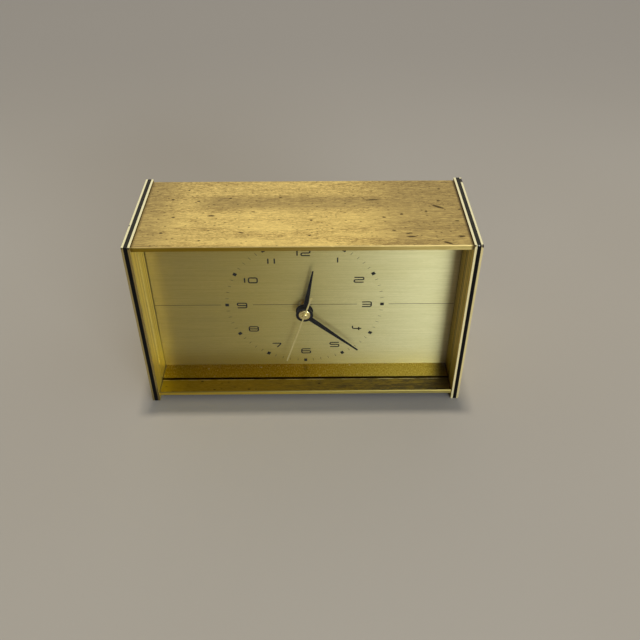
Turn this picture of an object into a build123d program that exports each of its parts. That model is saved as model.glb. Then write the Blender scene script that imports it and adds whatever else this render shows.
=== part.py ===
from build123d import *
import os
from math import acos, cos, pi, radians, sin, tan

os.makedirs("parts", exist_ok=True)

# Table clock: a brass box between two layered end panels, with a full-width dial behind glass.
# Millimetres. The origin is on the table under the middle of the clock, +Z up, the front towards -Y.

# Outer size
case_width = 185.0
case_height = 114.0
case_depth = 68.5

# End panels: brass skin, black core, brass skin
skin_thk = 1.3
core_thk = 1.9
skin_break = 0.15

# Top and bottom plates, extruded profiles that run between the end panels
plate_thk = 2.8
top_drop = 0.5
foot_gap = 3.2
front_inset = 1.0
rear_inset = 2.0
end_chamfer = 0.5
edge_break = 0.4
block_width = 5.4
block_height = 5.0
block_length = 10.0
block_gap = 1.8
rib_thk = 2.0
rib_height = 7.0

# Glass and dial, both held in grooves of the two plates
glass_thk = 1.6
dial_thk = 0.8
stack_shift = 0.175
groove_depth = 1.2
groove_side = 0.1
groove_end = 0.2
sheet_end_gap = 0.2
axis_drop = 2.0
marker_edge_gap = 2.55
marker_length = 2.1
marker_width = 1.9
marker_thk = 0.2

# Rear cover
cover_thk = 1.5
cover_gap = 0.3
cover_screw_inset = 5.0
cover_break = 0.3

# Screws
screw_fit = 0.1
m3_radius = 1.2
m3_head_radius = 2.6
m3_head_height = 1.6
m3_head_break = 0.4
m3_slot_width = 0.8
m3_slot_depth = 0.8
cover_slot_turns = (25.0, -35.0, 70.0, 10.0)
panel_screw_length = 9.0
cover_screw_length = 5.0
cradle_screw_length = 7.0
m2_radius = 0.9
m2_head_radius = 1.9
m2_head_height = 1.2
m2_length = 5.0

# Movement plates and pillars
plate_sheet = 1.5
movement_half_width = 19.0
movement_low = 18.0
movement_high = 33.0
tongue_half_width = 5.0
tongue_low = 28.0
pillar_inset = 3.0
pillar_radius = 2.0
pillar_spigot = 1.2
plate_space = 11.95
bearing_fit = 0.05

# Centre bush, and the two dial feet with their nuts
nose_radius = 3.5
nose_hole_fit = 0.1
dial_foot_radius = 1.25
dial_foot_fit = 0.05
dial_foot_rise = 7.5
dial_foot_end = 0.4
nut_flats = 5.0
nut_thk = 1.6

# Three shafts one inside the other
second_shaft_radius = 0.6
cannon_radius = 1.5
hour_pipe_radius = 2.2
tube_fit = 0.1

# Hands: gaps in front of the dial and each other, and how far each tip ends inside the marker circle
hand_thk = 0.4
second_thk = 0.3
hour_standoff = 6.1
minute_gap = 3.1
second_gap = 0.15
glass_gap = 0.35
hour_short = 15.8
minute_short = 3.2
second_short = 7.7
second_tail = 13.0
hour_angle = 9.8
minute_angle = 132.0
second_angle = 197.1
hand_eye_radius = 5.0
hour_root_width = 3.2
minute_root_width = 3.3
minute_wide_width = 2.45
minute_wide_at = 15.0
tip_width = 0.8
second_width = 0.8
tail_width = 0.9
tail_end_radius = 0.95
second_eye_radius = 2.0
collet_radius = 3.5
collet_thk = 1.2
collet_proud = 0.4
collet_round = 0.7
cap_radius = 1.5
cap_height = 0.5
cap_round = 0.35

# Wheels: teeth, modules and where each wheel starts behind the front plate
pressure_angle = 25.0
addendum = 0.75
dedendum = 1.0
backlash = 0.05
motion_module = 0.4
cannon_teeth = 15
minute_teeth = 45
minute_pinion_teeth = 12
hour_teeth = 48
setting_teeth = 12
seconds_pinion_teeth = 12
third_teeth = 96
third_pinion_teeth = 12
centre_teeth = 90
train_module = 0.3
index_teeth = 60
index_radius = 8.0
index_tooth_depth = 0.5
index_tooth_lean = 0.85
index_gap = 2.2
wheel_thk = 0.8
index_thk = 0.6
pinion_length = 1.8
wheel_gap = 0.4
stud_radius = 0.8
stud_head_radius = 1.6
stud_head_thk = 0.5
clutch_thk = 0.25
clutch_height = 0.7
clutch_radius = 2.9
collar_radius = 2.5
collar_thk = 0.7
arbor_radius = 0.9
pivot_radius = 0.5
end_shake = 0.1

# Setting knob
setting_radius = 1.25
setting_collar = 2.0
knob_radius = 7.0
knob_height = 7.0
knob_gap = 1.5
knob_bore_depth = 5.5
knob_flutes = 24
knob_flute_radius = 0.6
knob_break = 0.8
knob_dish_radius = 5.0
knob_dish_depth = 0.5
cover_hole_gap = 0.75

# Balance, hairspring, cock and regulator
balance_offset = 10.0
balance_radius = 11.0
balance_rim = 2.0
balance_thk = 1.5
balance_gap = 3.5
staff_radius = 0.6
staff_lead = 0.6
roller_radius = 1.5
roller_thk = 1.0
magnet_orbit = 7.5
magnet_radius = 1.4
magnet_thk = 1.0
spring_gap = 0.7
spring_width = 0.6
spring_wire = 0.25
spring_pitch = 0.9
spring_turns = 5
collet_hub_radius = 1.3
cock_gap = 1.2
cock_thk = 1.5
cock_width = 6.0
cock_drop = 14.0
cock_boss_radius = 2.5
cock_boss_height = 1.4
regulator_reach = 16.0
regulator_swing = 20.0
regulator_thk = 0.8
regulator_width = 2.4
regulator_ring = 1.6
regulator_fit = 0.1
regulator_tab = 2.0
regulator_slot_gap = 0.6
regulator_stick_out = 3.0

# Electrics
coil_radius = 4.0
coil_bore = 1.8
coil_thk = 2.5
board_half_width = 17.0
board_low = 14.0
board_high = 31.0
board_thk = 1.2
board_standoff = 2.0
standoff_radius = 2.0
standoff_inset = 3.5
transistor_radius = 2.4
transistor_height = 5.0
capacitor_radius = 3.0
capacitor_height = 9.0
capacitor_round = 0.5
resistor_radius = 1.2
resistor_length = 8.0
resistor_drop = 5.0

# Round cell and its cradle
cell_radius = 13.1
cell_length = 50.0
cell_nub_radius = 3.5
cell_nub_height = 1.5
cell_fit = 0.3
cell_dial_gap = 1.0
cell_rear_gap = 2.45
cradle_end_gap = 1.0
cradle_wall = 1.5
cradle_base = 2.0
cradle_cheek = 9.0
contact_thk = 0.4
contact_gap = 0.05
contact_width = 8.0
contact_height = 14.0
spring_throw = 3.0
cradle_screw_setback = 11.0
cradle_screw_spacing = 24.0
bay_gap = 1.0
bay_round = 1.5

# Derived places
panel_thk = 2 * skin_thk + core_thk
inner_half = case_width / 2 - panel_thk
half_depth = case_depth / 2
plate_front = -half_depth + front_inset
plate_rear = half_depth - rear_inset
top_face = case_height - top_drop
ceiling = top_face - plate_thk
floor = foot_gap + plate_thk
axis_height = case_height / 2 - axis_drop
marker_radius = min(axis_height - floor, ceiling - axis_height) - marker_edge_gap - marker_length / 2
hour_length = marker_radius - hour_short
minute_length = marker_radius - minute_short
second_length = marker_radius - second_short

minute_standoff = hour_standoff + hand_thk + minute_gap
second_standoff = minute_standoff + collet_proud + second_gap + second_thk
hand_space = second_standoff + cap_height + glass_gap

# Depth from the front: recess, glass, hands, dial, movement and cell, cover, recess
movement_space = cell_dial_gap + cradle_wall + cell_fit + 2 * cell_radius + cell_rear_gap
stack_depth = glass_thk + hand_space + dial_thk + movement_space + cover_thk
glass_front = -stack_depth / 2 + stack_shift
dial_front = glass_front + glass_thk + hand_space
dial_back = dial_front + dial_thk
cover_front = dial_back + movement_space
cover_back = cover_front + cover_thk
rib_front = cover_front - rib_thk
block_one = dial_back + block_gap + block_width / 2
block_two = rib_front - block_gap - block_width / 2
screw_hole = m3_radius + screw_fit
sheet_half = inner_half - sheet_end_gap
sheet_low = floor - groove_depth + groove_end
sheet_high = ceiling + groove_depth - groove_end

front_plate_back = dial_back + plate_sheet
rear_plate_front = front_plate_back + plate_space
rear_plate_back = rear_plate_front + plate_sheet
hour_front = dial_front - hour_standoff
minute_front = dial_front - minute_standoff
second_front = dial_front - second_standoff
hour_wheel_front = front_plate_back + wheel_gap
hour_wheel_back = hour_wheel_front + wheel_thk
cannon_front = hour_wheel_back + wheel_gap
cannon_back = cannon_front + pinion_length
minute_wheel_back = cannon_front + (pinion_length + wheel_thk) / 2
minute_wheel_front = minute_wheel_back - wheel_thk
stud_head_front = minute_wheel_back + end_shake
centre_front = cannon_back + clutch_height
centre_back = centre_front + wheel_thk
collar_front = centre_back + end_shake
collar_back = collar_front + collar_thk
seconds_pinion_front = collar_back + wheel_gap
seconds_pinion_back = seconds_pinion_front + pinion_length
third_wheel_back = (seconds_pinion_front + seconds_pinion_back + wheel_thk) / 2
third_pinion_back = (centre_front + centre_back + pinion_length) / 2
index_back = rear_plate_front - index_gap
index_front = index_back - index_thk

motion_distance = motion_module * (cannon_teeth + minute_teeth) / 2
hour_module = 2 * motion_distance / (hour_teeth + minute_pinion_teeth)
minute_z = axis_height - motion_distance
setting_distance = motion_module * (minute_teeth + setting_teeth) / 2
setting_z = minute_z - setting_distance
train_distance = train_module * (third_teeth + seconds_pinion_teeth) / 2
centre_module = 2 * train_distance / (centre_teeth + third_pinion_teeth)
third_z = axis_height + train_distance
plate_low_z = axis_height - movement_low
plate_high_z = axis_height + movement_high
tongue_low_z = axis_height - tongue_low
pillar_x = movement_half_width - pillar_inset
dial_foot_z = axis_height + dial_foot_rise
pillar_low = plate_low_z + pillar_inset
pillar_high = plate_high_z - pillar_inset
bush_bore = hour_pipe_radius + tube_fit
hour_bore = cannon_radius + tube_fit
cannon_bore = second_shaft_radius + tube_fit

balance_x = -balance_offset
balance_front = rear_plate_back + balance_gap
balance_back = balance_front + balance_thk
magnet_back = balance_back + magnet_thk
spring_front = magnet_back + spring_gap
spring_back = spring_front + spring_width
cock_front = spring_back + cock_gap
cock_back = cock_front + cock_thk
cock_foot_z = axis_height - cock_drop
boss_back = cock_back + cock_boss_height
regulator_front = cock_back + end_shake
regulator_back = regulator_front + regulator_thk
regulator_end = cover_back + regulator_stick_out
staff_front = index_front - staff_lead
knob_front = cover_back + knob_gap
knob_back = knob_front + knob_height

bay_radius = cell_radius + cell_fit
cell_z = floor + cradle_base + bay_radius
cell_y = dial_back + cell_dial_gap + cradle_wall + bay_radius
cradle_right = inner_half - block_length - cradle_end_gap
bay_right = cradle_right - cradle_wall
cell_end = bay_right - contact_thk - spring_throw - contact_gap
cell_start = cell_end - cell_length
bay_left = cell_start - contact_gap - contact_thk
cradle_left = bay_left - cradle_wall
cradle_front = cell_y - bay_radius - cradle_wall
cradle_back = cell_y + cradle_cheek
cradle_top = cell_z + bay_radius + cradle_wall
cell_mid = (cell_start + cell_end) / 2
cradle_screw_y = cell_y - cradle_screw_setback


def facing(y, x=0.0, z=0.0, turn=0.0):
    # Plane at depth y that faces the front, turned clockwise as seen from the front
    a = radians(turn)
    return Plane(origin=(x, y, z), x_dir=(cos(a), 0, -sin(a)), z_dir=(0, -1, 0))


def wheel_outline(teeth, module, phase):
    # Involute teeth with straight facets, the first tooth centred on the angle phase
    pitch = teeth * module / 2
    pressure = radians(pressure_angle)
    base = pitch * cos(pressure)
    tip = pitch + addendum * module
    root = pitch - dedendum * module
    half = pi / (2 * teeth) - backlash / (2 * pitch) + tan(pressure) - pressure
    radii = [root, base, pitch, tip] if base > root else [root, pitch, tip]
    flank = []
    for r in radii:
        roll = acos(min(1.0, base / r))
        flank.append((r, half - (tan(roll) - roll)))
    points = []
    for k in range(teeth):
        middle = radians(phase) + 2 * pi * k / teeth
        for r, a in flank:
            points.append((r * cos(middle - a), r * sin(middle - a)))
        for r, a in reversed(flank):
            points.append((r * cos(middle + a), r * sin(middle + a)))
    return points


def meshed_phase(phase, teeth, direction, other_teeth):
    # Phase of a wheel that lies in the given direction from one whose phase is known
    return direction + 180 + 180 / other_teeth - (phase - direction) * teeth / other_teeth


# How close an edge lies to a plane to be chosen by it
near = 0.01

up = 90.0
down = -90.0
minute_phase = up
cannon_phase = meshed_phase(minute_phase, minute_teeth, up, cannon_teeth)
setting_phase = meshed_phase(minute_phase, minute_teeth, down, setting_teeth)
hour_phase = meshed_phase(minute_phase, minute_pinion_teeth, up, hour_teeth)
third_phase = down
centre_phase = meshed_phase(third_phase, third_pinion_teeth, down, centre_teeth)
seconds_phase = meshed_phase(third_phase, third_teeth, down, seconds_pinion_teeth)

# End panels: every layer is a full rectangle that stands on the table
block_zs = (floor + block_height / 2, ceiling - block_height / 2)
panel_mid = case_height / 2

with BuildPart() as left_outer_skin:
    with BuildSketch(Plane.YZ.offset(-case_width / 2)):
        with Locations((0, panel_mid)):
            Rectangle(case_depth, case_height)
    extrude(amount=skin_thk)
    chamfer(left_outer_skin.edges().filter_by(Axis.X, reverse=True), skin_break)
left_outer_skin.part.label = "left_outer_skin"
export_step(left_outer_skin.part, "parts/left_outer_skin.step")

with BuildPart() as left_core:
    with BuildSketch(Plane.YZ.offset(-case_width / 2 + skin_thk)):
        with Locations((0, panel_mid)):
            Rectangle(case_depth, case_height)
    extrude(amount=core_thk)
left_core.part.label = "left_core"
export_step(left_core.part, "parts/left_core.step")

with BuildPart() as left_inner_skin:
    with BuildSketch(Plane.YZ.offset(-inner_half - skin_thk)):
        with Locations((0, panel_mid)):
            Rectangle(case_depth, case_height)
    extrude(amount=skin_thk)
    chamfer(left_inner_skin.edges().filter_by(Axis.X, reverse=True), skin_break)
    # Countersunk screw holes open towards the core, which hides them
    for block_y in (block_one, block_two):
        for block_z in block_zs:
            with BuildSketch(Plane.YZ.offset(-inner_half - skin_thk)):
                with Locations((block_y, block_z)):
                    Circle(m3_head_radius)
            with BuildSketch(Plane.YZ.offset(-inner_half)):
                with Locations((block_y, block_z)):
                    Circle(screw_hole)
            loft(mode=Mode.SUBTRACT)
left_inner_skin.part.label = "left_inner_skin"
export_step(left_inner_skin.part, "parts/left_inner_skin.step")

with BuildPart() as right_inner_skin:
    add(left_inner_skin.part.mirror(Plane.YZ))
right_inner_skin.part.label = "right_inner_skin"
export_step(right_inner_skin.part, "parts/right_inner_skin.step")

with BuildPart() as right_core:
    add(left_core.part.mirror(Plane.YZ))
right_core.part.label = "right_core"
export_step(right_core.part, "parts/right_core.step")

with BuildPart() as right_outer_skin:
    add(left_outer_skin.part.mirror(Plane.YZ))
right_outer_skin.part.label = "right_outer_skin"
export_step(right_outer_skin.part, "parts/right_outer_skin.step")

# Screws that hold each inner skin to the ends of the two plates
with BuildPart() as panel_screws:
    for side in (-1, 1):
        for block_y in (block_one, block_two):
            for block_z in block_zs:
                with BuildSketch(Plane.YZ.offset(side * (inner_half + skin_thk))):
                    with Locations((block_y, block_z)):
                        Circle(m3_head_radius)
                with BuildSketch(Plane.YZ.offset(side * inner_half)):
                    with Locations((block_y, block_z)):
                        Circle(m3_radius)
                loft()
                with BuildSketch(Plane.YZ.offset(side * inner_half)):
                    with Locations((block_y, block_z)):
                        Circle(m3_radius)
                extrude(amount=-side * (panel_screw_length - skin_thk))
panel_screws.part.label = "panel_screws"
export_step(panel_screws.part, "parts/panel_screws.step")

# Bottom plate: grooves for glass and dial, a rib for the cover, and screw blocks at both ends
with BuildPart() as bottom_plate:
    with BuildSketch(Plane.YZ.offset(-inner_half)):
        with Locations(((plate_front + plate_rear) / 2, foot_gap + plate_thk / 2)):
            Rectangle(plate_rear - plate_front, plate_thk)
        with Locations((rib_front + rib_thk / 2, floor + rib_height / 2)):
            Rectangle(rib_thk, rib_height)
        with Locations((glass_front + glass_thk / 2, floor - groove_depth / 2)):
            Rectangle(glass_thk + 2 * groove_side, groove_depth, mode=Mode.SUBTRACT)
        with Locations((dial_front + dial_thk / 2, floor - groove_depth / 2)):
            Rectangle(dial_thk + 2 * groove_side, groove_depth, mode=Mode.SUBTRACT)
    extrude(amount=2 * inner_half)
    lip = bottom_plate.edges().filter_by(Axis.X)
    lip = lip.filter_by_position(Axis.Y, plate_front - near, plate_front + near)
    chamfer(lip, edge_break)
    visible_ends = bottom_plate.edges().filter_by(Axis.Y)
    visible_ends = visible_ends.filter_by_position(Axis.Z, floor - near, floor + near)
    visible_ends = visible_ends.filter_by_position(Axis.Y, plate_front - near, dial_front)
    chamfer(visible_ends, end_chamfer)
    for side in (-1, 1):
        with BuildSketch(Plane.YZ.offset(side * inner_half)):
            with Locations((block_one, block_zs[0]), (block_two, block_zs[0])):
                Rectangle(block_width, block_height)
        extrude(amount=-side * block_length)
        with BuildSketch(Plane.YZ.offset(side * inner_half)):
            with Locations((block_one, block_zs[0]), (block_two, block_zs[0])):
                Circle(screw_hole)
        extrude(amount=-side * panel_screw_length, mode=Mode.SUBTRACT)
    # Gap in the rib where the cell slides out
    with BuildSketch(Plane.XY.offset(floor)):
        with Locations(((cradle_left + cradle_right) / 2, rib_front + rib_thk / 2)):
            Rectangle(cradle_right - cradle_left, rib_thk)
    extrude(amount=rib_height, mode=Mode.SUBTRACT)
    # Holes for the two screws that hold the cell cradle from below
    with BuildSketch(Plane.XY.offset(foot_gap)):
        with Locations((cell_mid, cradle_screw_y)):
            with GridLocations(cradle_screw_spacing, 1, 2, 1):
                Circle(screw_hole)
    extrude(amount=plate_thk, mode=Mode.SUBTRACT)
    with BuildSketch(Plane.XY.offset(foot_gap)):
        with Locations((cell_mid, cradle_screw_y)):
            with GridLocations(cradle_screw_spacing, 1, 2, 1):
                Circle(m3_head_radius + screw_fit)
    extrude(amount=m3_head_height, mode=Mode.SUBTRACT)
    # Holes in the rib for the cover screws
    with BuildSketch(facing(cover_front)):
        with Locations((0, floor + rib_height / 2)):
            with GridLocations(2 * (inner_half - cover_screw_inset), 1, 2, 1):
                Circle(screw_hole)
    extrude(amount=rib_thk, mode=Mode.SUBTRACT)
bottom_plate.part.label = "bottom_plate"
export_step(bottom_plate.part, "parts/bottom_plate.step")

# Top plate: the same profile turned over
with BuildPart() as top_plate:
    with BuildSketch(Plane.YZ.offset(-inner_half)):
        with Locations(((plate_front + plate_rear) / 2, top_face - plate_thk / 2)):
            Rectangle(plate_rear - plate_front, plate_thk)
        with Locations((rib_front + rib_thk / 2, ceiling - rib_height / 2)):
            Rectangle(rib_thk, rib_height)
        with Locations((glass_front + glass_thk / 2, ceiling + groove_depth / 2)):
            Rectangle(glass_thk + 2 * groove_side, groove_depth, mode=Mode.SUBTRACT)
        with Locations((dial_front + dial_thk / 2, ceiling + groove_depth / 2)):
            Rectangle(dial_thk + 2 * groove_side, groove_depth, mode=Mode.SUBTRACT)
    extrude(amount=2 * inner_half)
    long_edges = top_plate.edges().filter_by(Axis.X)
    long_edges = long_edges.filter_by_position(Axis.Z, top_face - near, top_face + near)
    chamfer(long_edges, edge_break)
    top_ends = top_plate.edges().filter_by(Axis.Y)
    top_ends = top_ends.filter_by_position(Axis.Z, top_face - near, top_face + near)
    chamfer(top_ends, end_chamfer)
    for side in (-1, 1):
        with BuildSketch(Plane.YZ.offset(side * inner_half)):
            with Locations((block_one, block_zs[1]), (block_two, block_zs[1])):
                Rectangle(block_width, block_height)
        extrude(amount=-side * block_length)
        with BuildSketch(Plane.YZ.offset(side * inner_half)):
            with Locations((block_one, block_zs[1]), (block_two, block_zs[1])):
                Circle(screw_hole)
        extrude(amount=-side * panel_screw_length, mode=Mode.SUBTRACT)
    with BuildSketch(facing(cover_front)):
        with Locations((0, ceiling - rib_height / 2)):
            with GridLocations(2 * (inner_half - cover_screw_inset), 1, 2, 1):
                Circle(screw_hole)
    extrude(amount=rib_thk, mode=Mode.SUBTRACT)
top_plate.part.label = "top_plate"
export_step(top_plate.part, "parts/top_plate.step")

# Glass pane
with BuildPart() as glass_pane:
    with BuildSketch(facing(glass_front)):
        with Locations((0, (sheet_low + sheet_high) / 2)):
            Rectangle(2 * sheet_half, sheet_high - sheet_low)
    extrude(amount=-glass_thk)
glass_pane.part.label = "glass_pane"
export_step(glass_pane.part, "parts/glass_pane.step")

# Dial plate with its centre hole
with BuildPart() as dial_plate:
    with BuildSketch(facing(dial_front)):
        with Locations((0, (sheet_low + sheet_high) / 2)):
            Rectangle(2 * sheet_half, sheet_high - sheet_low)
        with Locations((0, axis_height)):
            Circle(nose_radius + nose_hole_fit, mode=Mode.SUBTRACT)
    extrude(amount=-dial_thk)
dial_plate.part.label = "dial_plate"
export_step(dial_plate.part, "parts/dial_plate.step")

# Twelve small blocks that mark the hours
with BuildPart() as hour_markers:
    with BuildSketch(facing(dial_front, 0, axis_height)):
        with PolarLocations(marker_radius, 12):
            Rectangle(marker_length, marker_width)
    extrude(amount=marker_thk)
hour_markers.part.label = "hour_markers"
export_step(hour_markers.part, "parts/hour_markers.step")

# Rear cover with the cell bay, the knob hole and the regulator slot
cover_low = floor + cover_gap
cover_high = ceiling - cover_gap
bay_top = cell_z + cell_radius + bay_gap
slot_path = CenterArc((balance_x, axis_height), regulator_reach, 180 - regulator_swing, 2 * regulator_swing)
with BuildPart() as rear_cover:
    with BuildSketch(facing(cover_back)):
        with Locations((0, (cover_low + cover_high) / 2)):
            Rectangle(2 * (inner_half - cover_gap), cover_high - cover_low)
        # The bay is open below, so only its upper corners are round
        with Locations((cell_mid, (cover_low + bay_top) / 2 - bay_round)):
            bay_height = bay_top - cover_low + 2 * bay_round
            RectangleRounded(cell_length + 2 * bay_gap, bay_height, bay_round, mode=Mode.SUBTRACT)
        with Locations((0, setting_z)):
            Circle(setting_radius + cover_hole_gap, mode=Mode.SUBTRACT)
        SlotArc(slot_path, regulator_width + 2 * regulator_slot_gap, mode=Mode.SUBTRACT)
        with Locations((0, floor + rib_height / 2), (0, ceiling - rib_height / 2)):
            with GridLocations(2 * (inner_half - cover_screw_inset), 1, 2, 1):
                Circle(screw_hole, mode=Mode.SUBTRACT)
    extrude(amount=cover_thk)
    chamfer(rear_cover.edges().group_by(Axis.Y)[-1], cover_break)
rear_cover.part.label = "rear_cover"
export_step(rear_cover.part, "parts/rear_cover.step")

with BuildPart() as cover_screws:
    for screw_z in (floor + rib_height / 2, ceiling - rib_height / 2):
        with BuildSketch(facing(cover_back)):
            with Locations((0, screw_z)):
                with GridLocations(2 * (inner_half - cover_screw_inset), 1, 2, 1):
                    Circle(m3_head_radius)
        extrude(amount=-m3_head_height)
        with BuildSketch(facing(cover_back)):
            with Locations((0, screw_z)):
                with GridLocations(2 * (inner_half - cover_screw_inset), 1, 2, 1):
                    Circle(m3_radius)
        extrude(amount=cover_screw_length)
    chamfer(cover_screws.edges().group_by(Axis.Y)[-1], m3_head_break)
    # Driver slots, each screw stopped at its own turn
    with BuildSketch(facing(cover_back + m3_head_height)):
        with Locations((0, (floor + ceiling) / 2)):
            spread = GridLocations(2 * (inner_half - cover_screw_inset), ceiling - floor - rib_height, 2, 2)
            for place, turn in zip(spread, cover_slot_turns):
                with Locations(place):
                    Rectangle(2 * m3_head_radius, m3_slot_width, rotation=turn)
    extrude(amount=m3_slot_depth, mode=Mode.SUBTRACT)
cover_screws.part.label = "cover_screws"
export_step(cover_screws.part, "parts/cover_screws.step")

# Movement front plate with the centre bush that reaches through the dial
with BuildPart() as front_plate:
    with BuildSketch(facing(dial_back)):
        with Locations((0, (plate_low_z + plate_high_z) / 2)):
            Rectangle(2 * movement_half_width, plate_high_z - plate_low_z)
        with Locations((0, (tongue_low_z + plate_low_z) / 2)):
            Rectangle(2 * tongue_half_width, plate_low_z - tongue_low_z)
        with Locations((0, minute_z)):
            Circle(stud_radius, mode=Mode.SUBTRACT)
        with Locations((0, setting_z), (0, third_z)):
            Circle(pivot_radius + bearing_fit, mode=Mode.SUBTRACT)
        for pillar_z in (pillar_low, pillar_high):
            with Locations((-pillar_x, pillar_z), (pillar_x, pillar_z)):
                Circle(pillar_spigot, mode=Mode.SUBTRACT)
        with Locations((-pillar_x, dial_foot_z), (pillar_x, dial_foot_z)):
            Circle(dial_foot_radius + dial_foot_fit, mode=Mode.SUBTRACT)
    extrude(amount=-plate_sheet)
    with BuildSketch(facing(dial_back, 0, axis_height)):
        Circle(nose_radius)
    extrude(amount=dial_thk)
    with BuildSketch(facing(front_plate_back, 0, axis_height)):
        Circle(bush_bore)
    extrude(amount=plate_sheet + dial_thk, mode=Mode.SUBTRACT)
front_plate.part.label = "front_plate"
export_step(front_plate.part, "parts/front_plate.step")

# Dial feet: two studs on the back of the dial, held by nuts behind the front plate
with BuildPart() as dial_feet:
    with BuildSketch(facing(dial_back)):
        with Locations((-pillar_x, dial_foot_z), (pillar_x, dial_foot_z)):
            Circle(dial_foot_radius)
    extrude(amount=-plate_sheet - nut_thk - dial_foot_end)
dial_feet.part.label = "dial_feet"
export_step(dial_feet.part, "parts/dial_feet.step")

with BuildPart() as dial_foot_nuts:
    with BuildSketch(facing(front_plate_back)):
        with Locations((-pillar_x, dial_foot_z), (pillar_x, dial_foot_z)):
            RegularPolygon(nut_flats / 2, 6, major_radius=False)
            Circle(dial_foot_radius, mode=Mode.SUBTRACT)
    extrude(amount=-nut_thk)
dial_foot_nuts.part.label = "dial_foot_nuts"
export_step(dial_foot_nuts.part, "parts/dial_foot_nuts.step")

# Rear plate
with BuildPart() as rear_plate:
    with BuildSketch(facing(rear_plate_back)):
        with Locations((0, (plate_low_z + plate_high_z) / 2)):
            Rectangle(2 * movement_half_width, plate_high_z - plate_low_z)
        with Locations((0, (tongue_low_z + plate_low_z) / 2)):
            Rectangle(2 * tongue_half_width, plate_low_z - tongue_low_z)
        with Locations((0, axis_height)):
            Circle(second_shaft_radius + bearing_fit, mode=Mode.SUBTRACT)
        with Locations((0, third_z)):
            Circle(pivot_radius + bearing_fit, mode=Mode.SUBTRACT)
        with Locations((0, setting_z)):
            Circle(setting_radius + bearing_fit, mode=Mode.SUBTRACT)
        with Locations((balance_x, axis_height)):
            Circle(staff_radius + bearing_fit, mode=Mode.SUBTRACT)
        with Locations((balance_x, cock_foot_z)):
            Circle(m2_radius, mode=Mode.SUBTRACT)
        for pillar_z in (pillar_low, pillar_high):
            with Locations((-pillar_x, pillar_z), (pillar_x, pillar_z)):
                Circle(m2_radius + screw_fit, mode=Mode.SUBTRACT)
        with Locations((0, axis_height + board_low + standoff_inset)):
            with GridLocations(2 * (board_half_width - standoff_inset), 1, 2, 1):
                Circle(m2_radius, mode=Mode.SUBTRACT)
    extrude(amount=plate_sheet)
rear_plate.part.label = "rear_plate"
export_step(rear_plate.part, "parts/rear_plate.step")

# Four pillars between the plates, riveted into the front one
with BuildPart() as pillars:
    for side in (-1, 1):
        for pillar_z in (pillar_low, pillar_high):
            with BuildSketch(facing(rear_plate_front, side * pillar_x, pillar_z)):
                Circle(pillar_radius)
            extrude(amount=plate_space)
            with BuildSketch(facing(front_plate_back, side * pillar_x, pillar_z)):
                Circle(pillar_spigot)
            extrude(amount=plate_sheet)
            with BuildSketch(facing(rear_plate_front, side * pillar_x, pillar_z)):
                Circle(m2_radius + screw_fit)
            extrude(amount=m2_length, mode=Mode.SUBTRACT)
pillars.part.label = "pillars"
export_step(pillars.part, "parts/pillars.step")

with BuildPart() as movement_screws:
    for side in (-1, 1):
        for pillar_z in (pillar_low, pillar_high):
            with BuildSketch(facing(rear_plate_back, side * pillar_x, pillar_z)):
                Circle(m2_head_radius)
            extrude(amount=-m2_head_height)
            with BuildSketch(facing(rear_plate_back, side * pillar_x, pillar_z)):
                Circle(m2_radius)
            extrude(amount=m2_length)
movement_screws.part.label = "movement_screws"
export_step(movement_screws.part, "parts/movement_screws.step")

# Shoulder stud that carries the minute wheel
with BuildPart() as minute_stud:
    with BuildSketch(facing(stud_head_front, 0, minute_z)):
        Circle(stud_head_radius)
    extrude(amount=-stud_head_thk)
    with BuildSketch(facing(stud_head_front, 0, minute_z)):
        Circle(stud_radius)
    extrude(amount=stud_head_front - dial_back)
minute_stud.part.label = "minute_stud"
export_step(minute_stud.part, "parts/minute_stud.step")

# Hour wheel on its pipe
with BuildPart() as hour_wheel:
    with BuildSketch(facing(hour_wheel_back, 0, axis_height)):
        with BuildLine():
            Polyline(*wheel_outline(hour_teeth, hour_module, hour_phase), close=True)
        make_face()
    extrude(amount=wheel_thk)
    with BuildSketch(facing(hour_wheel_back, 0, axis_height)):
        Circle(hour_pipe_radius)
    extrude(amount=hour_wheel_back - hour_front)
    with BuildSketch(facing(hour_wheel_back, 0, axis_height)):
        Circle(hour_bore)
    extrude(amount=hour_wheel_back - hour_front, mode=Mode.SUBTRACT)
hour_wheel.part.label = "hour_wheel"
export_step(hour_wheel.part, "parts/hour_wheel.step")

with BuildPart() as hour_hand:
    with BuildSketch(facing(hour_front, 0, axis_height, hour_angle)):
        with BuildLine():
            Polyline(
                (-hour_root_width / 2, 0),
                (hour_root_width / 2, 0),
                (tip_width / 2, hour_length),
                (-tip_width / 2, hour_length),
                close=True,
            )
        make_face()
        Circle(hand_eye_radius)
        Circle(hour_pipe_radius, mode=Mode.SUBTRACT)
    extrude(amount=-hand_thk)
hour_hand.part.label = "hour_hand"
export_step(hour_hand.part, "parts/hour_hand.step")

# Cannon pinion with the minute hand on its front end
with BuildPart() as cannon_pinion:
    with BuildSketch(facing(cannon_back, 0, axis_height)):
        with BuildLine():
            Polyline(*wheel_outline(cannon_teeth, motion_module, cannon_phase), close=True)
        make_face()
    extrude(amount=pinion_length)
    with BuildSketch(facing(collar_back, 0, axis_height)):
        Circle(cannon_radius)
    extrude(amount=collar_back - minute_front)
    with BuildSketch(facing(collar_back, 0, axis_height)):
        Circle(cannon_bore)
    extrude(amount=collar_back - minute_front, mode=Mode.SUBTRACT)
cannon_pinion.part.label = "cannon_pinion"
export_step(cannon_pinion.part, "parts/cannon_pinion.step")

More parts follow.
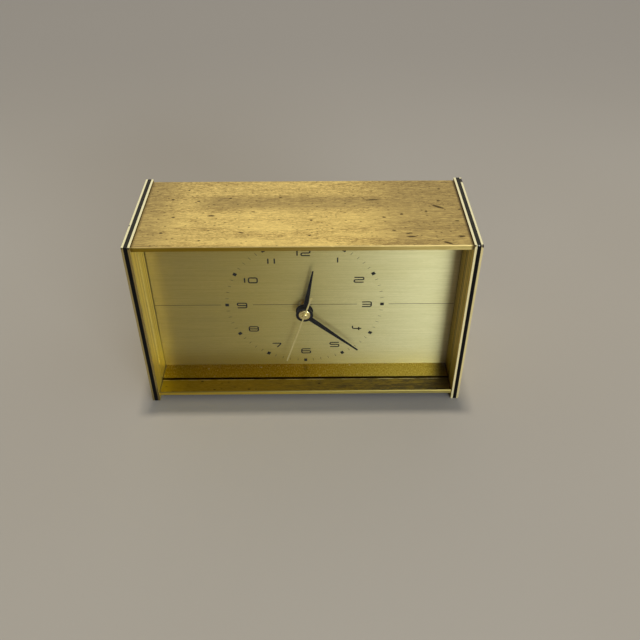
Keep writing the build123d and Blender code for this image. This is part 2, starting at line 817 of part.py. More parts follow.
with BuildPart() as minute_hand:
    with BuildSketch(facing(minute_front, 0, axis_height, minute_angle)):
        with BuildLine():
            Polyline(
                (-minute_root_width / 2, 0),
                (minute_root_width / 2, 0),
                (minute_wide_width / 2, minute_wide_at),
                (tip_width / 2, minute_length),
                (-tip_width / 2, minute_length),
                (-minute_wide_width / 2, minute_wide_at),
                close=True,
            )
        make_face()
        Circle(hand_eye_radius)
        Circle(collet_radius, mode=Mode.SUBTRACT)
    extrude(amount=-hand_thk)
minute_hand.part.label = "minute_hand"
export_step(minute_hand.part, "parts/minute_hand.step")

with BuildPart() as minute_collet:
    with BuildSketch(facing(minute_front - collet_proud, 0, axis_height)):
        Circle(collet_radius)
        Circle(cannon_radius, mode=Mode.SUBTRACT)
    extrude(amount=-collet_proud - collet_thk)
    front_rims = minute_collet.edges().group_by(Axis.Y)[0]
    fillet(front_rims.sort_by(SortBy.RADIUS)[-1], collet_round)
minute_collet.part.label = "minute_collet"
export_step(minute_collet.part, "parts/minute_collet.step")

# Friction clutch: a dished washer in front of the centre wheel and a collar behind it
with BuildPart() as clutch_spring:
    with BuildSketch(Plane.XY.offset(axis_height)):
        with BuildLine():
            Polyline(
                (cannon_radius + tube_fit, cannon_back),
                (cannon_radius + tube_fit, cannon_back + clutch_thk),
                (clutch_radius, centre_front - bearing_fit),
                (clutch_radius, centre_front - bearing_fit - clutch_thk),
                close=True,
            )
        make_face()
    revolve(axis=Axis((0, 0, axis_height), (0, 1, 0)))
clutch_spring.part.label = "clutch_spring"
export_step(clutch_spring.part, "parts/clutch_spring.step")

with BuildPart() as clutch_collar:
    with BuildSketch(facing(collar_back, 0, axis_height)):
        Circle(collar_radius)
        Circle(cannon_radius, mode=Mode.SUBTRACT)
    extrude(amount=collar_thk)
clutch_collar.part.label = "clutch_collar"
export_step(clutch_collar.part, "parts/clutch_collar.step")

with BuildPart() as centre_wheel:
    with BuildSketch(facing(centre_back, 0, axis_height)):
        with BuildLine():
            Polyline(*wheel_outline(centre_teeth, centre_module, centre_phase), close=True)
        make_face()
        Circle(cannon_radius + bearing_fit, mode=Mode.SUBTRACT)
    extrude(amount=wheel_thk)
centre_wheel.part.label = "centre_wheel"
export_step(centre_wheel.part, "parts/centre_wheel.step")

# Minute wheel with its pinion, turning on the stud
with BuildPart() as minute_wheel:
    with BuildSketch(facing(minute_wheel_back, 0, minute_z)):
        with BuildLine():
            Polyline(*wheel_outline(minute_teeth, motion_module, minute_phase), close=True)
        make_face()
    extrude(amount=wheel_thk)
    with BuildSketch(facing(minute_wheel_front, 0, minute_z)):
        with BuildLine():
            Polyline(*wheel_outline(minute_pinion_teeth, hour_module, minute_phase), close=True)
        make_face()
    extrude(amount=minute_wheel_front - front_plate_back - end_shake)
    with BuildSketch(facing(minute_wheel_back, 0, minute_z)):
        Circle(stud_radius + bearing_fit)
    extrude(amount=minute_wheel_back - front_plate_back, mode=Mode.SUBTRACT)
minute_wheel.part.label = "minute_wheel"
export_step(minute_wheel.part, "parts/minute_wheel.step")

# Setting arbor with its pinion, and the knob on its rear end
with BuildPart() as setting_arbor:
    with BuildSketch(facing(cannon_back, 0, setting_z)):
        with BuildLine():
            Polyline(*wheel_outline(setting_teeth, motion_module, setting_phase), close=True)
        make_face()
    extrude(amount=pinion_length)
    with BuildSketch(facing(knob_front + knob_bore_depth, 0, setting_z)):
        Circle(setting_radius)
    extrude(amount=knob_front + knob_bore_depth - front_plate_back - end_shake)
    with BuildSketch(facing(front_plate_back + end_shake, 0, setting_z)):
        Circle(pivot_radius)
    extrude(amount=plate_sheet)
    with BuildSketch(facing(rear_plate_front - end_shake, 0, setting_z)):
        Circle(setting_collar)
    extrude(amount=collar_thk)
setting_arbor.part.label = "setting_arbor"
export_step(setting_arbor.part, "parts/setting_arbor.step")

with BuildPart() as setting_knob:
    with BuildSketch(facing(knob_back, 0, setting_z)):
        Circle(knob_radius)
        with PolarLocations(knob_radius, knob_flutes):
            Circle(knob_flute_radius, mode=Mode.SUBTRACT)
    extrude(amount=knob_height)
    # Broken rim and dished end
    with BuildSketch(Plane.YZ):
        with BuildLine():
            Polyline(
                (knob_front, setting_z),
                (knob_front, setting_z + knob_radius),
                (knob_back - knob_break, setting_z + knob_radius),
                (knob_back, setting_z + knob_radius - knob_break),
                (knob_back, setting_z + knob_dish_radius),
                (knob_back - knob_dish_depth, setting_z + knob_dish_radius - knob_dish_depth),
                (knob_back - knob_dish_depth, setting_z),
                close=True,
            )
        make_face()
    revolve(axis=Axis((0, 0, setting_z), (0, 1, 0)), mode=Mode.INTERSECT)
    with BuildSketch(facing(knob_front, 0, setting_z)):
        Circle(setting_radius)
    extrude(amount=-knob_bore_depth, mode=Mode.SUBTRACT)
setting_knob.part.label = "setting_knob"
export_step(setting_knob.part, "parts/setting_knob.step")

# Seconds arbor with its pinion, index wheel and hand
with BuildPart() as seconds_arbor:
    with BuildSketch(facing(rear_plate_back, 0, axis_height)):
        Circle(second_shaft_radius)
    extrude(amount=rear_plate_back - second_front)
    with BuildSketch(facing(seconds_pinion_back, 0, axis_height)):
        with BuildLine():
            Polyline(*wheel_outline(seconds_pinion_teeth, train_module, seconds_phase), close=True)
        make_face()
    extrude(amount=pinion_length)
seconds_arbor.part.label = "seconds_arbor"
export_step(seconds_arbor.part, "parts/seconds_arbor.step")

with BuildPart() as index_wheel:
    with BuildSketch(facing(index_back, 0, axis_height)):
        with BuildLine():
            ratchet = []
            index_root = index_radius - index_tooth_depth
            for k in range(index_teeth):
                low = 2 * pi * k / index_teeth
                high = 2 * pi * (k + index_tooth_lean) / index_teeth
                ratchet.append((index_root * cos(low), index_root * sin(low)))
                ratchet.append((index_radius * cos(high), index_radius * sin(high)))
            Polyline(*ratchet, close=True)
        make_face()
        Circle(second_shaft_radius, mode=Mode.SUBTRACT)
    extrude(amount=index_thk)
index_wheel.part.label = "index_wheel"
export_step(index_wheel.part, "parts/index_wheel.step")

with BuildPart() as second_hand:
    with BuildSketch(facing(second_front, 0, axis_height, second_angle)):
        with Locations((0, second_length / 2)):
            Rectangle(second_width, second_length)
        with Locations((0, -second_tail / 2)):
            Rectangle(tail_width, second_tail)
        with Locations((0, -second_tail)):
            Circle(tail_end_radius)
        Circle(second_eye_radius)
        Circle(second_shaft_radius, mode=Mode.SUBTRACT)
    extrude(amount=-second_thk)
second_hand.part.label = "second_hand"
export_step(second_hand.part, "parts/second_hand.step")

with BuildPart() as hand_cap:
    with BuildSketch(facing(second_front, 0, axis_height)):
        Circle(cap_radius)
    extrude(amount=cap_height)
    fillet(hand_cap.edges().sort_by(Axis.Y)[0], cap_round)
hand_cap.part.label = "hand_cap"
export_step(hand_cap.part, "parts/hand_cap.step")

# Third arbor with its pinion and wheel
with BuildPart() as third_arbor:
    with BuildSketch(facing(rear_plate_front - end_shake, 0, third_z)):
        Circle(arbor_radius)
    extrude(amount=plate_space - 2 * end_shake)
    with BuildSketch(facing(rear_plate_front - end_shake + plate_sheet, 0, third_z)):
        Circle(pivot_radius)
    extrude(amount=plate_space - 2 * end_shake + 2 * plate_sheet)
    with BuildSketch(facing(third_pinion_back, 0, third_z)):
        with BuildLine():
            Polyline(*wheel_outline(third_pinion_teeth, centre_module, third_phase), close=True)
        make_face()
    extrude(amount=pinion_length)
third_arbor.part.label = "third_arbor"
export_step(third_arbor.part, "parts/third_arbor.step")

with BuildPart() as third_wheel:
    with BuildSketch(facing(third_wheel_back, 0, third_z)):
        with BuildLine():
            Polyline(*wheel_outline(third_teeth, train_module, third_phase), close=True)
        make_face()
        Circle(arbor_radius, mode=Mode.SUBTRACT)
    extrude(amount=wheel_thk)
third_wheel.part.label = "third_wheel"
export_step(third_wheel.part, "parts/third_wheel.step")

# Balance: staff, wheel, magnets, roller and hairspring turn together
with BuildPart() as balance_staff:
    with BuildSketch(facing(cock_back, balance_x, axis_height)):
        Circle(staff_radius)
    extrude(amount=cock_back - staff_front)
    with BuildSketch(facing(spring_back, balance_x, axis_height)):
        Circle(collet_hub_radius)
    extrude(amount=spring_back - spring_front)
balance_staff.part.label = "balance_staff"
export_step(balance_staff.part, "parts/balance_staff.step")

with BuildPart() as balance_wheel:
    with BuildSketch(facing(balance_back, balance_x, axis_height)):
        Circle(balance_radius)
        Circle(balance_radius - balance_rim, mode=Mode.SUBTRACT)
        Rectangle(2 * magnet_radius, 2 * (balance_radius - balance_rim / 2))
        Circle(staff_radius, mode=Mode.SUBTRACT)
    extrude(amount=balance_thk)
balance_wheel.part.label = "balance_wheel"
export_step(balance_wheel.part, "parts/balance_wheel.step")

with BuildPart() as balance_magnets:
    with BuildSketch(facing(magnet_back, balance_x, axis_height)):
        with Locations((0, magnet_orbit), (0, -magnet_orbit)):
            Circle(magnet_radius)
    extrude(amount=magnet_thk)
balance_magnets.part.label = "balance_magnets"
export_step(balance_magnets.part, "parts/balance_magnets.step")

with BuildPart() as impulse_roller:
    with BuildSketch(facing(staff_front + roller_thk, balance_x, axis_height)):
        Circle(roller_radius)
        Circle(staff_radius, mode=Mode.SUBTRACT)
    extrude(amount=roller_thk)
impulse_roller.part.label = "impulse_roller"
export_step(impulse_roller.part, "parts/impulse_roller.step")

# Flat spiral of half circles, from the collet outwards
with BuildPart() as hairspring:
    with BuildSketch(facing(spring_back, balance_x, axis_height)):
        with BuildLine():
            start = collet_hub_radius + spring_wire / 2
            step = spring_pitch / 2
            for k in range(2 * spring_turns):
                way = 1 if k % 2 == 0 else -1
                r = start + step * (k + 0.5)
                middle = -step / 2 if k % 2 == 0 else 0.0
                CenterArc((middle, 0), r, 0 if k % 2 == 0 else 180, 180)
        trace(line_width=spring_wire)
    extrude(amount=spring_width)
hairspring.part.label = "hairspring"
export_step(hairspring.part, "parts/hairspring.step")

# Balance cock on its foot, with a boss for the regulator
with BuildPart() as balance_cock:
    with BuildSketch(facing(cock_back, balance_x, axis_height)):
        with Locations((0, -cock_drop / 2)):
            SlotCenterToCenter(cock_drop, cock_width, rotation=90)
        Circle(staff_radius + bearing_fit, mode=Mode.SUBTRACT)
        with Locations((0, -cock_drop)):
            Circle(m2_radius + screw_fit, mode=Mode.SUBTRACT)
    extrude(amount=cock_thk)
    with BuildSketch(facing(cock_front, balance_x, cock_foot_z)):
        Circle(pillar_radius + m2_radius / 2)
        Circle(m2_radius + screw_fit, mode=Mode.SUBTRACT)
    extrude(amount=cock_front - rear_plate_back)
    with BuildSketch(facing(boss_back, balance_x, axis_height)):
        Circle(cock_boss_radius)
        Circle(staff_radius + bearing_fit, mode=Mode.SUBTRACT)
    extrude(amount=cock_boss_height)
balance_cock.part.label = "balance_cock"
export_step(balance_cock.part, "parts/balance_cock.step")

with BuildPart() as cock_screw:
    with BuildSketch(facing(cock_back, balance_x, cock_foot_z)):
        Circle(m2_head_radius)
    extrude(amount=-m2_head_height)
    with BuildSketch(facing(cock_back, balance_x, cock_foot_z)):
        Circle(m2_radius)
    extrude(amount=cock_back - rear_plate_front)
cock_screw.part.label = "cock_screw"
export_step(cock_screw.part, "parts/cock_screw.step")

# Regulator lever round the boss, its tab reaching out through the cover slot
with BuildPart() as regulator_lever:
    with BuildSketch(facing(regulator_back, balance_x, axis_height)):
        with Locations((-regulator_reach / 2, 0)):
            Rectangle(regulator_reach, regulator_width)
        Circle(cock_boss_radius + regulator_fit + regulator_ring)
        with Locations((-regulator_reach, 0)):
            Rectangle(regulator_tab, regulator_width)
        Circle(cock_boss_radius + regulator_fit, mode=Mode.SUBTRACT)
    extrude(amount=regulator_thk)
    with BuildSketch(facing(regulator_end, balance_x - regulator_reach, axis_height)):
        Rectangle(regulator_tab, regulator_width)
    extrude(amount=regulator_end - regulator_front)
regulator_lever.part.label = "regulator_lever"
export_step(regulator_lever.part, "parts/regulator_lever.step")

with BuildPart() as regulator_clip:
    with BuildSketch(facing(boss_back, balance_x, axis_height)):
        Circle(cock_boss_radius + regulator_ring / 2)
        Circle(cock_boss_radius, mode=Mode.SUBTRACT)
    extrude(amount=boss_back - regulator_back - end_shake)
regulator_clip.part.label = "regulator_clip"
export_step(regulator_clip.part, "parts/regulator_clip.step")

# Drive coil on the rear plate, in front of the magnets' path
with BuildPart() as drive_coil:
    with BuildSketch(facing(rear_plate_back, balance_x, axis_height + magnet_orbit)):
        Circle(coil_radius)
        Circle(coil_bore, mode=Mode.SUBTRACT)
    extrude(amount=-coil_thk)
drive_coil.part.label = "drive_coil"
export_step(drive_coil.part, "parts/drive_coil.step")

# Circuit board on two stand-offs, with three components
board_front = rear_plate_back + board_standoff
board_back = board_front + board_thk
standoff_x = board_half_width - standoff_inset
standoff_z = axis_height + board_low + standoff_inset
board_mid = axis_height + (board_low + board_high) / 2
with BuildPart() as circuit_board:
    with BuildSketch(facing(board_front)):
        with Locations((0, board_mid)):
            Rectangle(2 * board_half_width, board_high - board_low)
        with Locations((-standoff_x, standoff_z), (standoff_x, standoff_z)):
            Circle(m2_radius + screw_fit, mode=Mode.SUBTRACT)
    extrude(amount=-board_thk)
circuit_board.part.label = "circuit_board"
export_step(circuit_board.part, "parts/circuit_board.step")

with BuildPart() as board_standoffs:
    with BuildSketch(facing(rear_plate_back)):
        with Locations((-standoff_x, standoff_z), (standoff_x, standoff_z)):
            Circle(standoff_radius)
            Circle(m2_radius + screw_fit, mode=Mode.SUBTRACT)
    extrude(amount=-board_standoff)
board_standoffs.part.label = "board_standoffs"
export_step(board_standoffs.part, "parts/board_standoffs.step")

with BuildPart() as board_screws:
    for side in (-1, 1):
        with BuildSketch(facing(board_back, side * standoff_x, standoff_z)):
            Circle(m2_head_radius)
        extrude(amount=-m2_head_height)
        with BuildSketch(facing(board_back, side * standoff_x, standoff_z)):
            Circle(m2_radius)
        extrude(amount=board_back - rear_plate_front)
board_screws.part.label = "board_screws"
export_step(board_screws.part, "parts/board_screws.step")

with BuildPart() as transistor:
    with BuildSketch(facing(board_back, -board_half_width / 3, board_mid)):
        Circle(transistor_radius)
        with Locations((0, -transistor_radius)):
            Rectangle(2 * transistor_radius, transistor_radius, mode=Mode.SUBTRACT)
    extrude(amount=-transistor_height)
transistor.part.label = "transistor"
export_step(transistor.part, "parts/transistor.step")

with BuildPart() as capacitor:
    with BuildSketch(facing(board_back, board_half_width / 2, board_mid)):
        Circle(capacitor_radius)
    extrude(amount=-capacitor_height)
    fillet(capacitor.edges().sort_by(Axis.Y)[-1], capacitor_round)
capacitor.part.label = "capacitor"
export_step(capacitor.part, "parts/capacitor.step")

with BuildPart() as resistor:
    with BuildSketch(Plane.YZ.offset(-resistor_length / 2)):
        with Locations((board_back + resistor_radius, board_mid - resistor_drop)):
            Circle(resistor_radius)
    extrude(amount=resistor_length)
resistor.part.label = "resistor"
export_step(resistor.part, "parts/resistor.step")

# Cradle for the round cell: a trough open to the rear that stands on the bottom plate
with BuildPart() as cell_cradle:
    with BuildSketch(Plane.YZ.offset(cradle_left)):
        with Locations(((cradle_front + cradle_back) / 2, (floor + cradle_top) / 2)):
            Rectangle(cradle_back - cradle_front, cradle_top - floor)
    extrude(amount=cradle_right - cradle_left)
    with BuildSketch(Plane.YZ.offset(bay_left)):
        with Locations((cell_y, cell_z)):
            Circle(bay_radius)
        with Locations(((cell_y + cradle_back) / 2, cell_z)):
            Rectangle(cradle_back - cell_y, 2 * bay_radius)
    extrude(amount=bay_right - bay_left, mode=Mode.SUBTRACT)
    with BuildSketch(Plane.XY.offset(floor)):
        with Locations((cell_mid, cradle_screw_y)):
            with GridLocations(cradle_screw_spacing, 1, 2, 1):
                Circle(screw_hole)
    extrude(amount=cradle_screw_length - plate_thk + screw_fit, mode=Mode.SUBTRACT)
cell_cradle.part.label = "cell_cradle"
export_step(cell_cradle.part, "parts/cell_cradle.step")

with BuildPart() as cradle_screws:
    with BuildSketch(Plane.XY.offset(foot_gap)):
        with Locations((cell_mid, cradle_screw_y)):
            with GridLocations(cradle_screw_spacing, 1, 2, 1):
                Circle(m3_head_radius)
    extrude(amount=m3_head_height)
    with BuildSketch(Plane.XY.offset(foot_gap)):
        with Locations((cell_mid, cradle_screw_y)):
            with GridLocations(cradle_screw_spacing, 1, 2, 1):
                Circle(m3_radius)
    extrude(amount=cradle_screw_length)
cradle_screws.part.label = "cradle_screws"
export_step(cradle_screws.part, "parts/cradle_screws.step")

with BuildPart() as positive_contact:
    with BuildSketch(Plane.YZ.offset(bay_left)):
        with Locations((cell_y, cell_z)):
            Rectangle(contact_width, contact_height)
    extrude(amount=contact_thk)
positive_contact.part.label = "positive_contact"
export_step(positive_contact.part, "parts/positive_contact.step")

# Bent leaf that presses on the flat end of the cell
with BuildPart() as negative_contact:
    with BuildSketch(facing(cell_y + contact_width / 2)):
        with BuildLine():
            leaf_base = bay_right - contact_thk
            leaf_tip = cell_end + contact_gap
            Polyline(
                (bay_right, cell_z - contact_height / 2),
                (bay_right, cell_z + contact_height / 2),
                (leaf_base, cell_z + contact_height / 2),
                (leaf_tip, cell_z + contact_thk),
                (leaf_tip, cell_z - contact_thk),
                (leaf_tip + contact_thk, cell_z - contact_thk),
                (leaf_tip + contact_thk, cell_z),
                (leaf_base, cell_z + contact_height / 2 - 4 * contact_thk),
                (leaf_base, cell_z - contact_height / 2),
                close=True,
            )
        make_face()
    extrude(amount=contact_width)
negative_contact.part.label = "negative_contact"
export_step(negative_contact.part, "parts/negative_contact.step")

with BuildPart() as cell:
    with BuildSketch(Plane.YZ.offset(cell_start + cell_nub_height)):
        with Locations((cell_y, cell_z)):
            Circle(cell_radius)
    extrude(amount=cell_length - cell_nub_height)
    with BuildSketch(Plane.YZ.offset(cell_start)):
        with Locations((cell_y, cell_z)):
            Circle(cell_nub_radius)
    extrude(amount=cell_nub_height)
cell.part.label = "cell"
export_step(cell.part, "parts/cell.step")
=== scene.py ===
import math

import bmesh
import bpy
from mathutils import Matrix, Vector


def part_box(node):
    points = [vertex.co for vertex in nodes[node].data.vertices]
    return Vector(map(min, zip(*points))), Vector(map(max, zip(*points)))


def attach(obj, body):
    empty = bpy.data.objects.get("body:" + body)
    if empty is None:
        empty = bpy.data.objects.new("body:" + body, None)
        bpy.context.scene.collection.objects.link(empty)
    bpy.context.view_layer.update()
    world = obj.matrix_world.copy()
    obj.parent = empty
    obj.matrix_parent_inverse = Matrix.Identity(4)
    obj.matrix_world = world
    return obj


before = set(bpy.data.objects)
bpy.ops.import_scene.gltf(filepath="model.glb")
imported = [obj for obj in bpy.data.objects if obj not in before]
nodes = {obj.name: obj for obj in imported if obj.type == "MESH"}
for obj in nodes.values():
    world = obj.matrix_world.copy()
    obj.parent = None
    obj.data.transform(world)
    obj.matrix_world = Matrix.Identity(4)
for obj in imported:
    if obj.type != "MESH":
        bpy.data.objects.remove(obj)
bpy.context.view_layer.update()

MM = 0.001


def add_object(name, data):
    made = bpy.data.objects.new(name, data)
    bpy.context.scene.collection.objects.link(made)
    return made


# Camera at the photograph's viewing angle
PHOTO_SIDE = 640
FOCAL_PIXELS = 697.51
CENTRE_ROW = 260
SENSOR = 36.0
CAMERA_PLACE = Vector((6.50, -321.82, 321.62)) * MM
CAMERA_PITCH = math.radians(36.922)
CAMERA_YAW = math.radians(0.470)
CAMERA_ROLL = math.radians(-0.110)
CLIP_START = 0.01
CLIP_END = 100


def make_camera():
    data = bpy.data.cameras.new("camera")
    data.sensor_width = SENSOR
    data.lens = FOCAL_PIXELS * SENSOR / PHOTO_SIDE
    data.shift_y = (CENTRE_ROW - PHOTO_SIDE / 2) / PHOTO_SIDE
    data.clip_start = CLIP_START
    data.clip_end = CLIP_END
    forward = Vector((
        math.sin(CAMERA_YAW) * math.cos(CAMERA_PITCH),
        math.cos(CAMERA_YAW) * math.cos(CAMERA_PITCH),
        -math.sin(CAMERA_PITCH),
    ))
    right = Vector((math.cos(CAMERA_YAW), -math.sin(CAMERA_YAW), 0))
    up = right.cross(forward)
    across = right * math.cos(CAMERA_ROLL) + up * math.sin(CAMERA_ROLL)
    upward = up * math.cos(CAMERA_ROLL) - right * math.sin(CAMERA_ROLL)
    turn = Matrix((across, upward, -forward)).transposed()
    camera = add_object("camera", data)
    camera.matrix_world = Matrix.Translation(CAMERA_PLACE) @ turn.to_4x4()
    bpy.context.scene.camera = camera


make_camera()
bpy.context.scene.view_settings.view_transform = "Standard"


# Node trees
def colour(value):
    """A colour with its alpha added, and a socket as it is."""
    if isinstance(value, tuple) and len(value) == 3:
        return (*value, 1.0)
    return value


class Nodes:
    """Makes and links the nodes of one shader tree."""

    def __init__(self, tree):
        self.tree = tree

    def node(self, kind, **settings):
        made = self.tree.nodes.new(kind)
        for key, value in settings.items():
            setattr(made, key, value)
        return made

    def feed(self, socket, value):
        if isinstance(value, bpy.types.NodeSocket):
            self.tree.links.new(value, socket)
        else:
            socket.default_value = value

    def maths(self, operation, *values, clamp=False):
        made = self.node("ShaderNodeMath", operation=operation, use_clamp=clamp)
        for socket, value in zip(made.inputs, values):
            self.feed(socket, value)
        return made.outputs["Value"]

    def times(self, a, b, clamp=False):
        return self.maths("MULTIPLY", a, b, clamp=clamp)

    def scaled(self, value, factor, offset):
        """The value times the factor, plus the offset."""
        return self.maths("MULTIPLY_ADD", value, factor, offset)

    def most(self, first, *others):
        for other in others:
            first = self.maths("MAXIMUM", first, other)
        return first

    def size(self, value):
        """The value without its sign."""
        return self.maths("ABSOLUTE", value)

    def off(self, value, centre):
        """How far the value is from the centre, to either side."""
        return self.size(self.maths("SUBTRACT", value, centre))

    def step(self, value, low, high, out_low=0.0, out_high=1.0):
        """Smooth rise from out_low to out_high as value goes from low to high."""
        made = self.node("ShaderNodeMapRange", interpolation_type="SMOOTHSTEP")
        self.feed(made.inputs["Value"], value)
        self.feed(made.inputs["From Min"], low)
        self.feed(made.inputs["From Max"], high)
        self.feed(made.inputs["To Min"], out_low)
        self.feed(made.inputs["To Max"], out_high)
        return made.outputs["Result"]

    def mix(self, share, a, b):
        made = self.node("ShaderNodeMix", data_type="RGBA")
        sockets = {socket.identifier: socket for socket in made.inputs}
        self.feed(sockets["Factor_Float"], share)
        self.feed(sockets["A_Color"], colour(a))
        self.feed(sockets["B_Color"], colour(b))
        return next(out for out in made.outputs if out.identifier == "Result_Color")

    def split(self, vector):
        made = self.node("ShaderNodeSeparateXYZ")
        self.feed(made.inputs[0], vector)
        return made.outputs


class Finish(Nodes):
    """A material: one Principled shader and the textures that feed it, fixed to the object."""

    def __init__(self, name, **sockets):
        self.material = bpy.data.materials.new(name)
        self.material.use_nodes = True
        super().__init__(self.material.node_tree)
        self.shader = self.tree.nodes["Principled BSDF"]
        for key, value in sockets.items():
            self.shader.inputs[key.replace("_", " ")].default_value = value
        self.place = self.node("ShaderNodeTexCoord").outputs["Object"]

    def set(self, name, value):
        self.feed(self.shader.inputs[name], value)

    def axes(self):
        """The place across, back and up, in mm."""
        in_mm = self.node("ShaderNodeVectorMath", operation="SCALE")
        self.feed(in_mm.inputs[0], self.place)
        in_mm.inputs["Scale"].default_value = 1 / MM
        return self.split(in_mm.outputs["Vector"])

    def facing(self):
        """How far the surface faces right, back and up, from -1 to 1."""
        return self.split(self.node("ShaderNodeNewGeometry").outputs["True Normal"])

    def on_right(self, x, left=0.0, right=1.0):
        """One value on the left half of the clock and another on the right."""
        return self.step(x, -1, 1, left, right)

    def stretched(self, sizes, shift=(0, 0, 0)):
        """Coordinates in which a texture feature has these sizes in mm along X, Y and Z."""
        mapping = self.node("ShaderNodeMapping")
        self.feed(mapping.inputs["Vector"], self.place)
        mapping.inputs["Location"].default_value = shift
        mapping.inputs["Scale"].default_value = [1 / (size * MM) for size in sizes]
        return mapping.outputs["Vector"]

    def noise(self, sizes, detail=2.0, roughness=0.5, shift=(0, 0, 0), distortion=0.0):
        made = self.node("ShaderNodeTexNoise")
        self.feed(made.inputs["Vector"], self.stretched(sizes, shift))
        made.inputs["Scale"].default_value = 1.0
        made.inputs["Detail"].default_value = detail
        made.inputs["Roughness"].default_value = roughness
        made.inputs["Distortion"].default_value = distortion
        return made.outputs["Fac"]

    def specks(self, spacing, rim, core, rare, shift=(0, 0, 0)):
        """1 in scattered specks: rim and core are shares of the spacing in mm, rare is the share left out."""
        cells = self.node("ShaderNodeTexVoronoi")
        self.feed(cells.inputs["Vector"], self.stretched(spacing, shift))
        cells.inputs["Scale"].default_value = 1.0
        random = self.node("ShaderNodeSeparateColor")
        self.feed(random.inputs["Color"], cells.outputs["Color"])
        chosen = self.step(random.outputs["Red"], rare, 0.95)
        return self.times(self.step(cells.outputs["Distance"], rim, core), chosen)

    def near(self, centre, reach, ragged):
        """1 at a point given in mm and 0 at reach mm from it, with an edge ragged by some mm."""
        distance = self.node("ShaderNodeVectorMath", operation="DISTANCE")
        self.feed(distance.inputs[0], self.place)
        distance.inputs[1].default_value = [part * MM for part in centre]
        edge = self.times(self.noise((1.2, 1.2, 1.2)), ragged * MM)
        far = self.maths("ADD", distance.outputs["Value"], edge)
        return self.step(far, reach * MM, 0.5 * reach * MM)

    def mark(self, centre, length, width, turn):
        """1 inside a ragged oval on a flat face seen along Z: centre, length and width in mm."""
        mapping = self.node("ShaderNodeMapping", vector_type="TEXTURE")
        self.feed(mapping.inputs["Vector"], self.place)
        mapping.inputs["Location"].default_value = [part * MM for part in centre] + [0]
        mapping.inputs["Rotation"].default_value = (0, 0, math.radians(turn))
        mapping.inputs["Scale"].default_value = (length / 2 * MM, width / 2 * MM, 1e3)
        distance = self.node("ShaderNodeVectorMath", operation="LENGTH")
        self.feed(distance.inputs[0], mapping.outputs["Vector"])
        ragged = 0.9
        edge = self.scaled(self.noise((0.9, 0.5, 0.5), 3.0), ragged, -ragged / 2)
        return self.step(self.maths("ADD", distance.outputs["Value"], edge), 1.15, 0.45)

    def bump(self, height, strength, depth_mm):
        made = self.node("ShaderNodeBump")
        made.inputs["Strength"].default_value = strength
        made.inputs["Distance"].default_value = depth_mm * MM
        self.feed(made.inputs["Height"], height)
        self.set("Normal", made.outputs["Normal"])

    def brushed_round(self, axis):
        """Turns the shader's stretched highlights to lie across grain that runs along this axis."""
        tangent = self.node("ShaderNodeTangent", direction_type="RADIAL", axis=axis)
        self.set("Tangent", tangent.outputs["Tangent"])


def wear(*names, finish):
    for name in names:
        mesh = nodes[name].data
        mesh.materials.clear()
        mesh.materials.append(finish.material)


# Places on the clock that the finishes and the print refer to, in mm
WALL = 88.0
GROOVE_SIDE = 0.1
dial_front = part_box("dial_plate")[0].y / MM
pane_low, pane_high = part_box("glass_pane")
glass_front = pane_low.y / MM
groove_front = glass_front - GROOVE_SIDE
groove_rear = pane_high.y / MM + GROOVE_SIDE

# Stains on the top plate: place across and back in mm, length and width in mm, and turn in degrees
TOP_STAINS = [
    ((-49.9, -4.3), 4.8, 1.2, 0), ((-74.5, -20.5), 2.4, 1.1, -8), ((-73.2, 12.4), 2.0, 1.1, 0),
    ((-58.6, 10.6), 2.3, 1.0, 0), ((-41.0, 13.3), 1.8, 1.0, 0), ((-32.3, -20.7), 3.6, 0.9, -14),
    ((-70.3, -5.7), 2.3, 0.9, 0), ((-53.6, -27.5), 2.0, 0.8, 10), ((-27.4, -0.6), 2.6, 0.7, 0),
    ((4.4, -9.2), 2.0, 1.0, 0), ((3.4, -23.4), 2.0, 0.9, 0), ((-65.4, 22.1), 1.5, 0.9, 0),
    ((-12.9, 14.1), 2.0, 0.7, 0), ((74.3, 3.5), 9.5, 1.5, -33), ((75.5, 9.7), 2.5, 0.9, -20),
    ((53.5, -3.8), 2.3, 1.2, 0), ((43.7, -6.7), 2.6, 1.0, -14), ((55.6, -22.1), 4.2, 0.9, 16),
    ((56.7, -25.1), 6.4, 1.1, -3), ((82.7, -25.1), 4.2, 1.4, 0), ((75.0, -31.0), 6.4, 1.2, -27),
    ((77.6, 22.4), 2.0, 1.0, 0), ((67.2, -1.5), 2.0, 0.9, 0), ((48.0, -19.2), 2.5, 0.9, -10),
    ((82.7, -10.6), 3.0, 0.8, -6), ((85.8, 0.8), 2.5, 0.8, 0), ((38.0, 11.0), 10.0, 1.0, 4),
]
STAIN_SPREAD = 1.5
STAIN_STRENGTH = 0.95


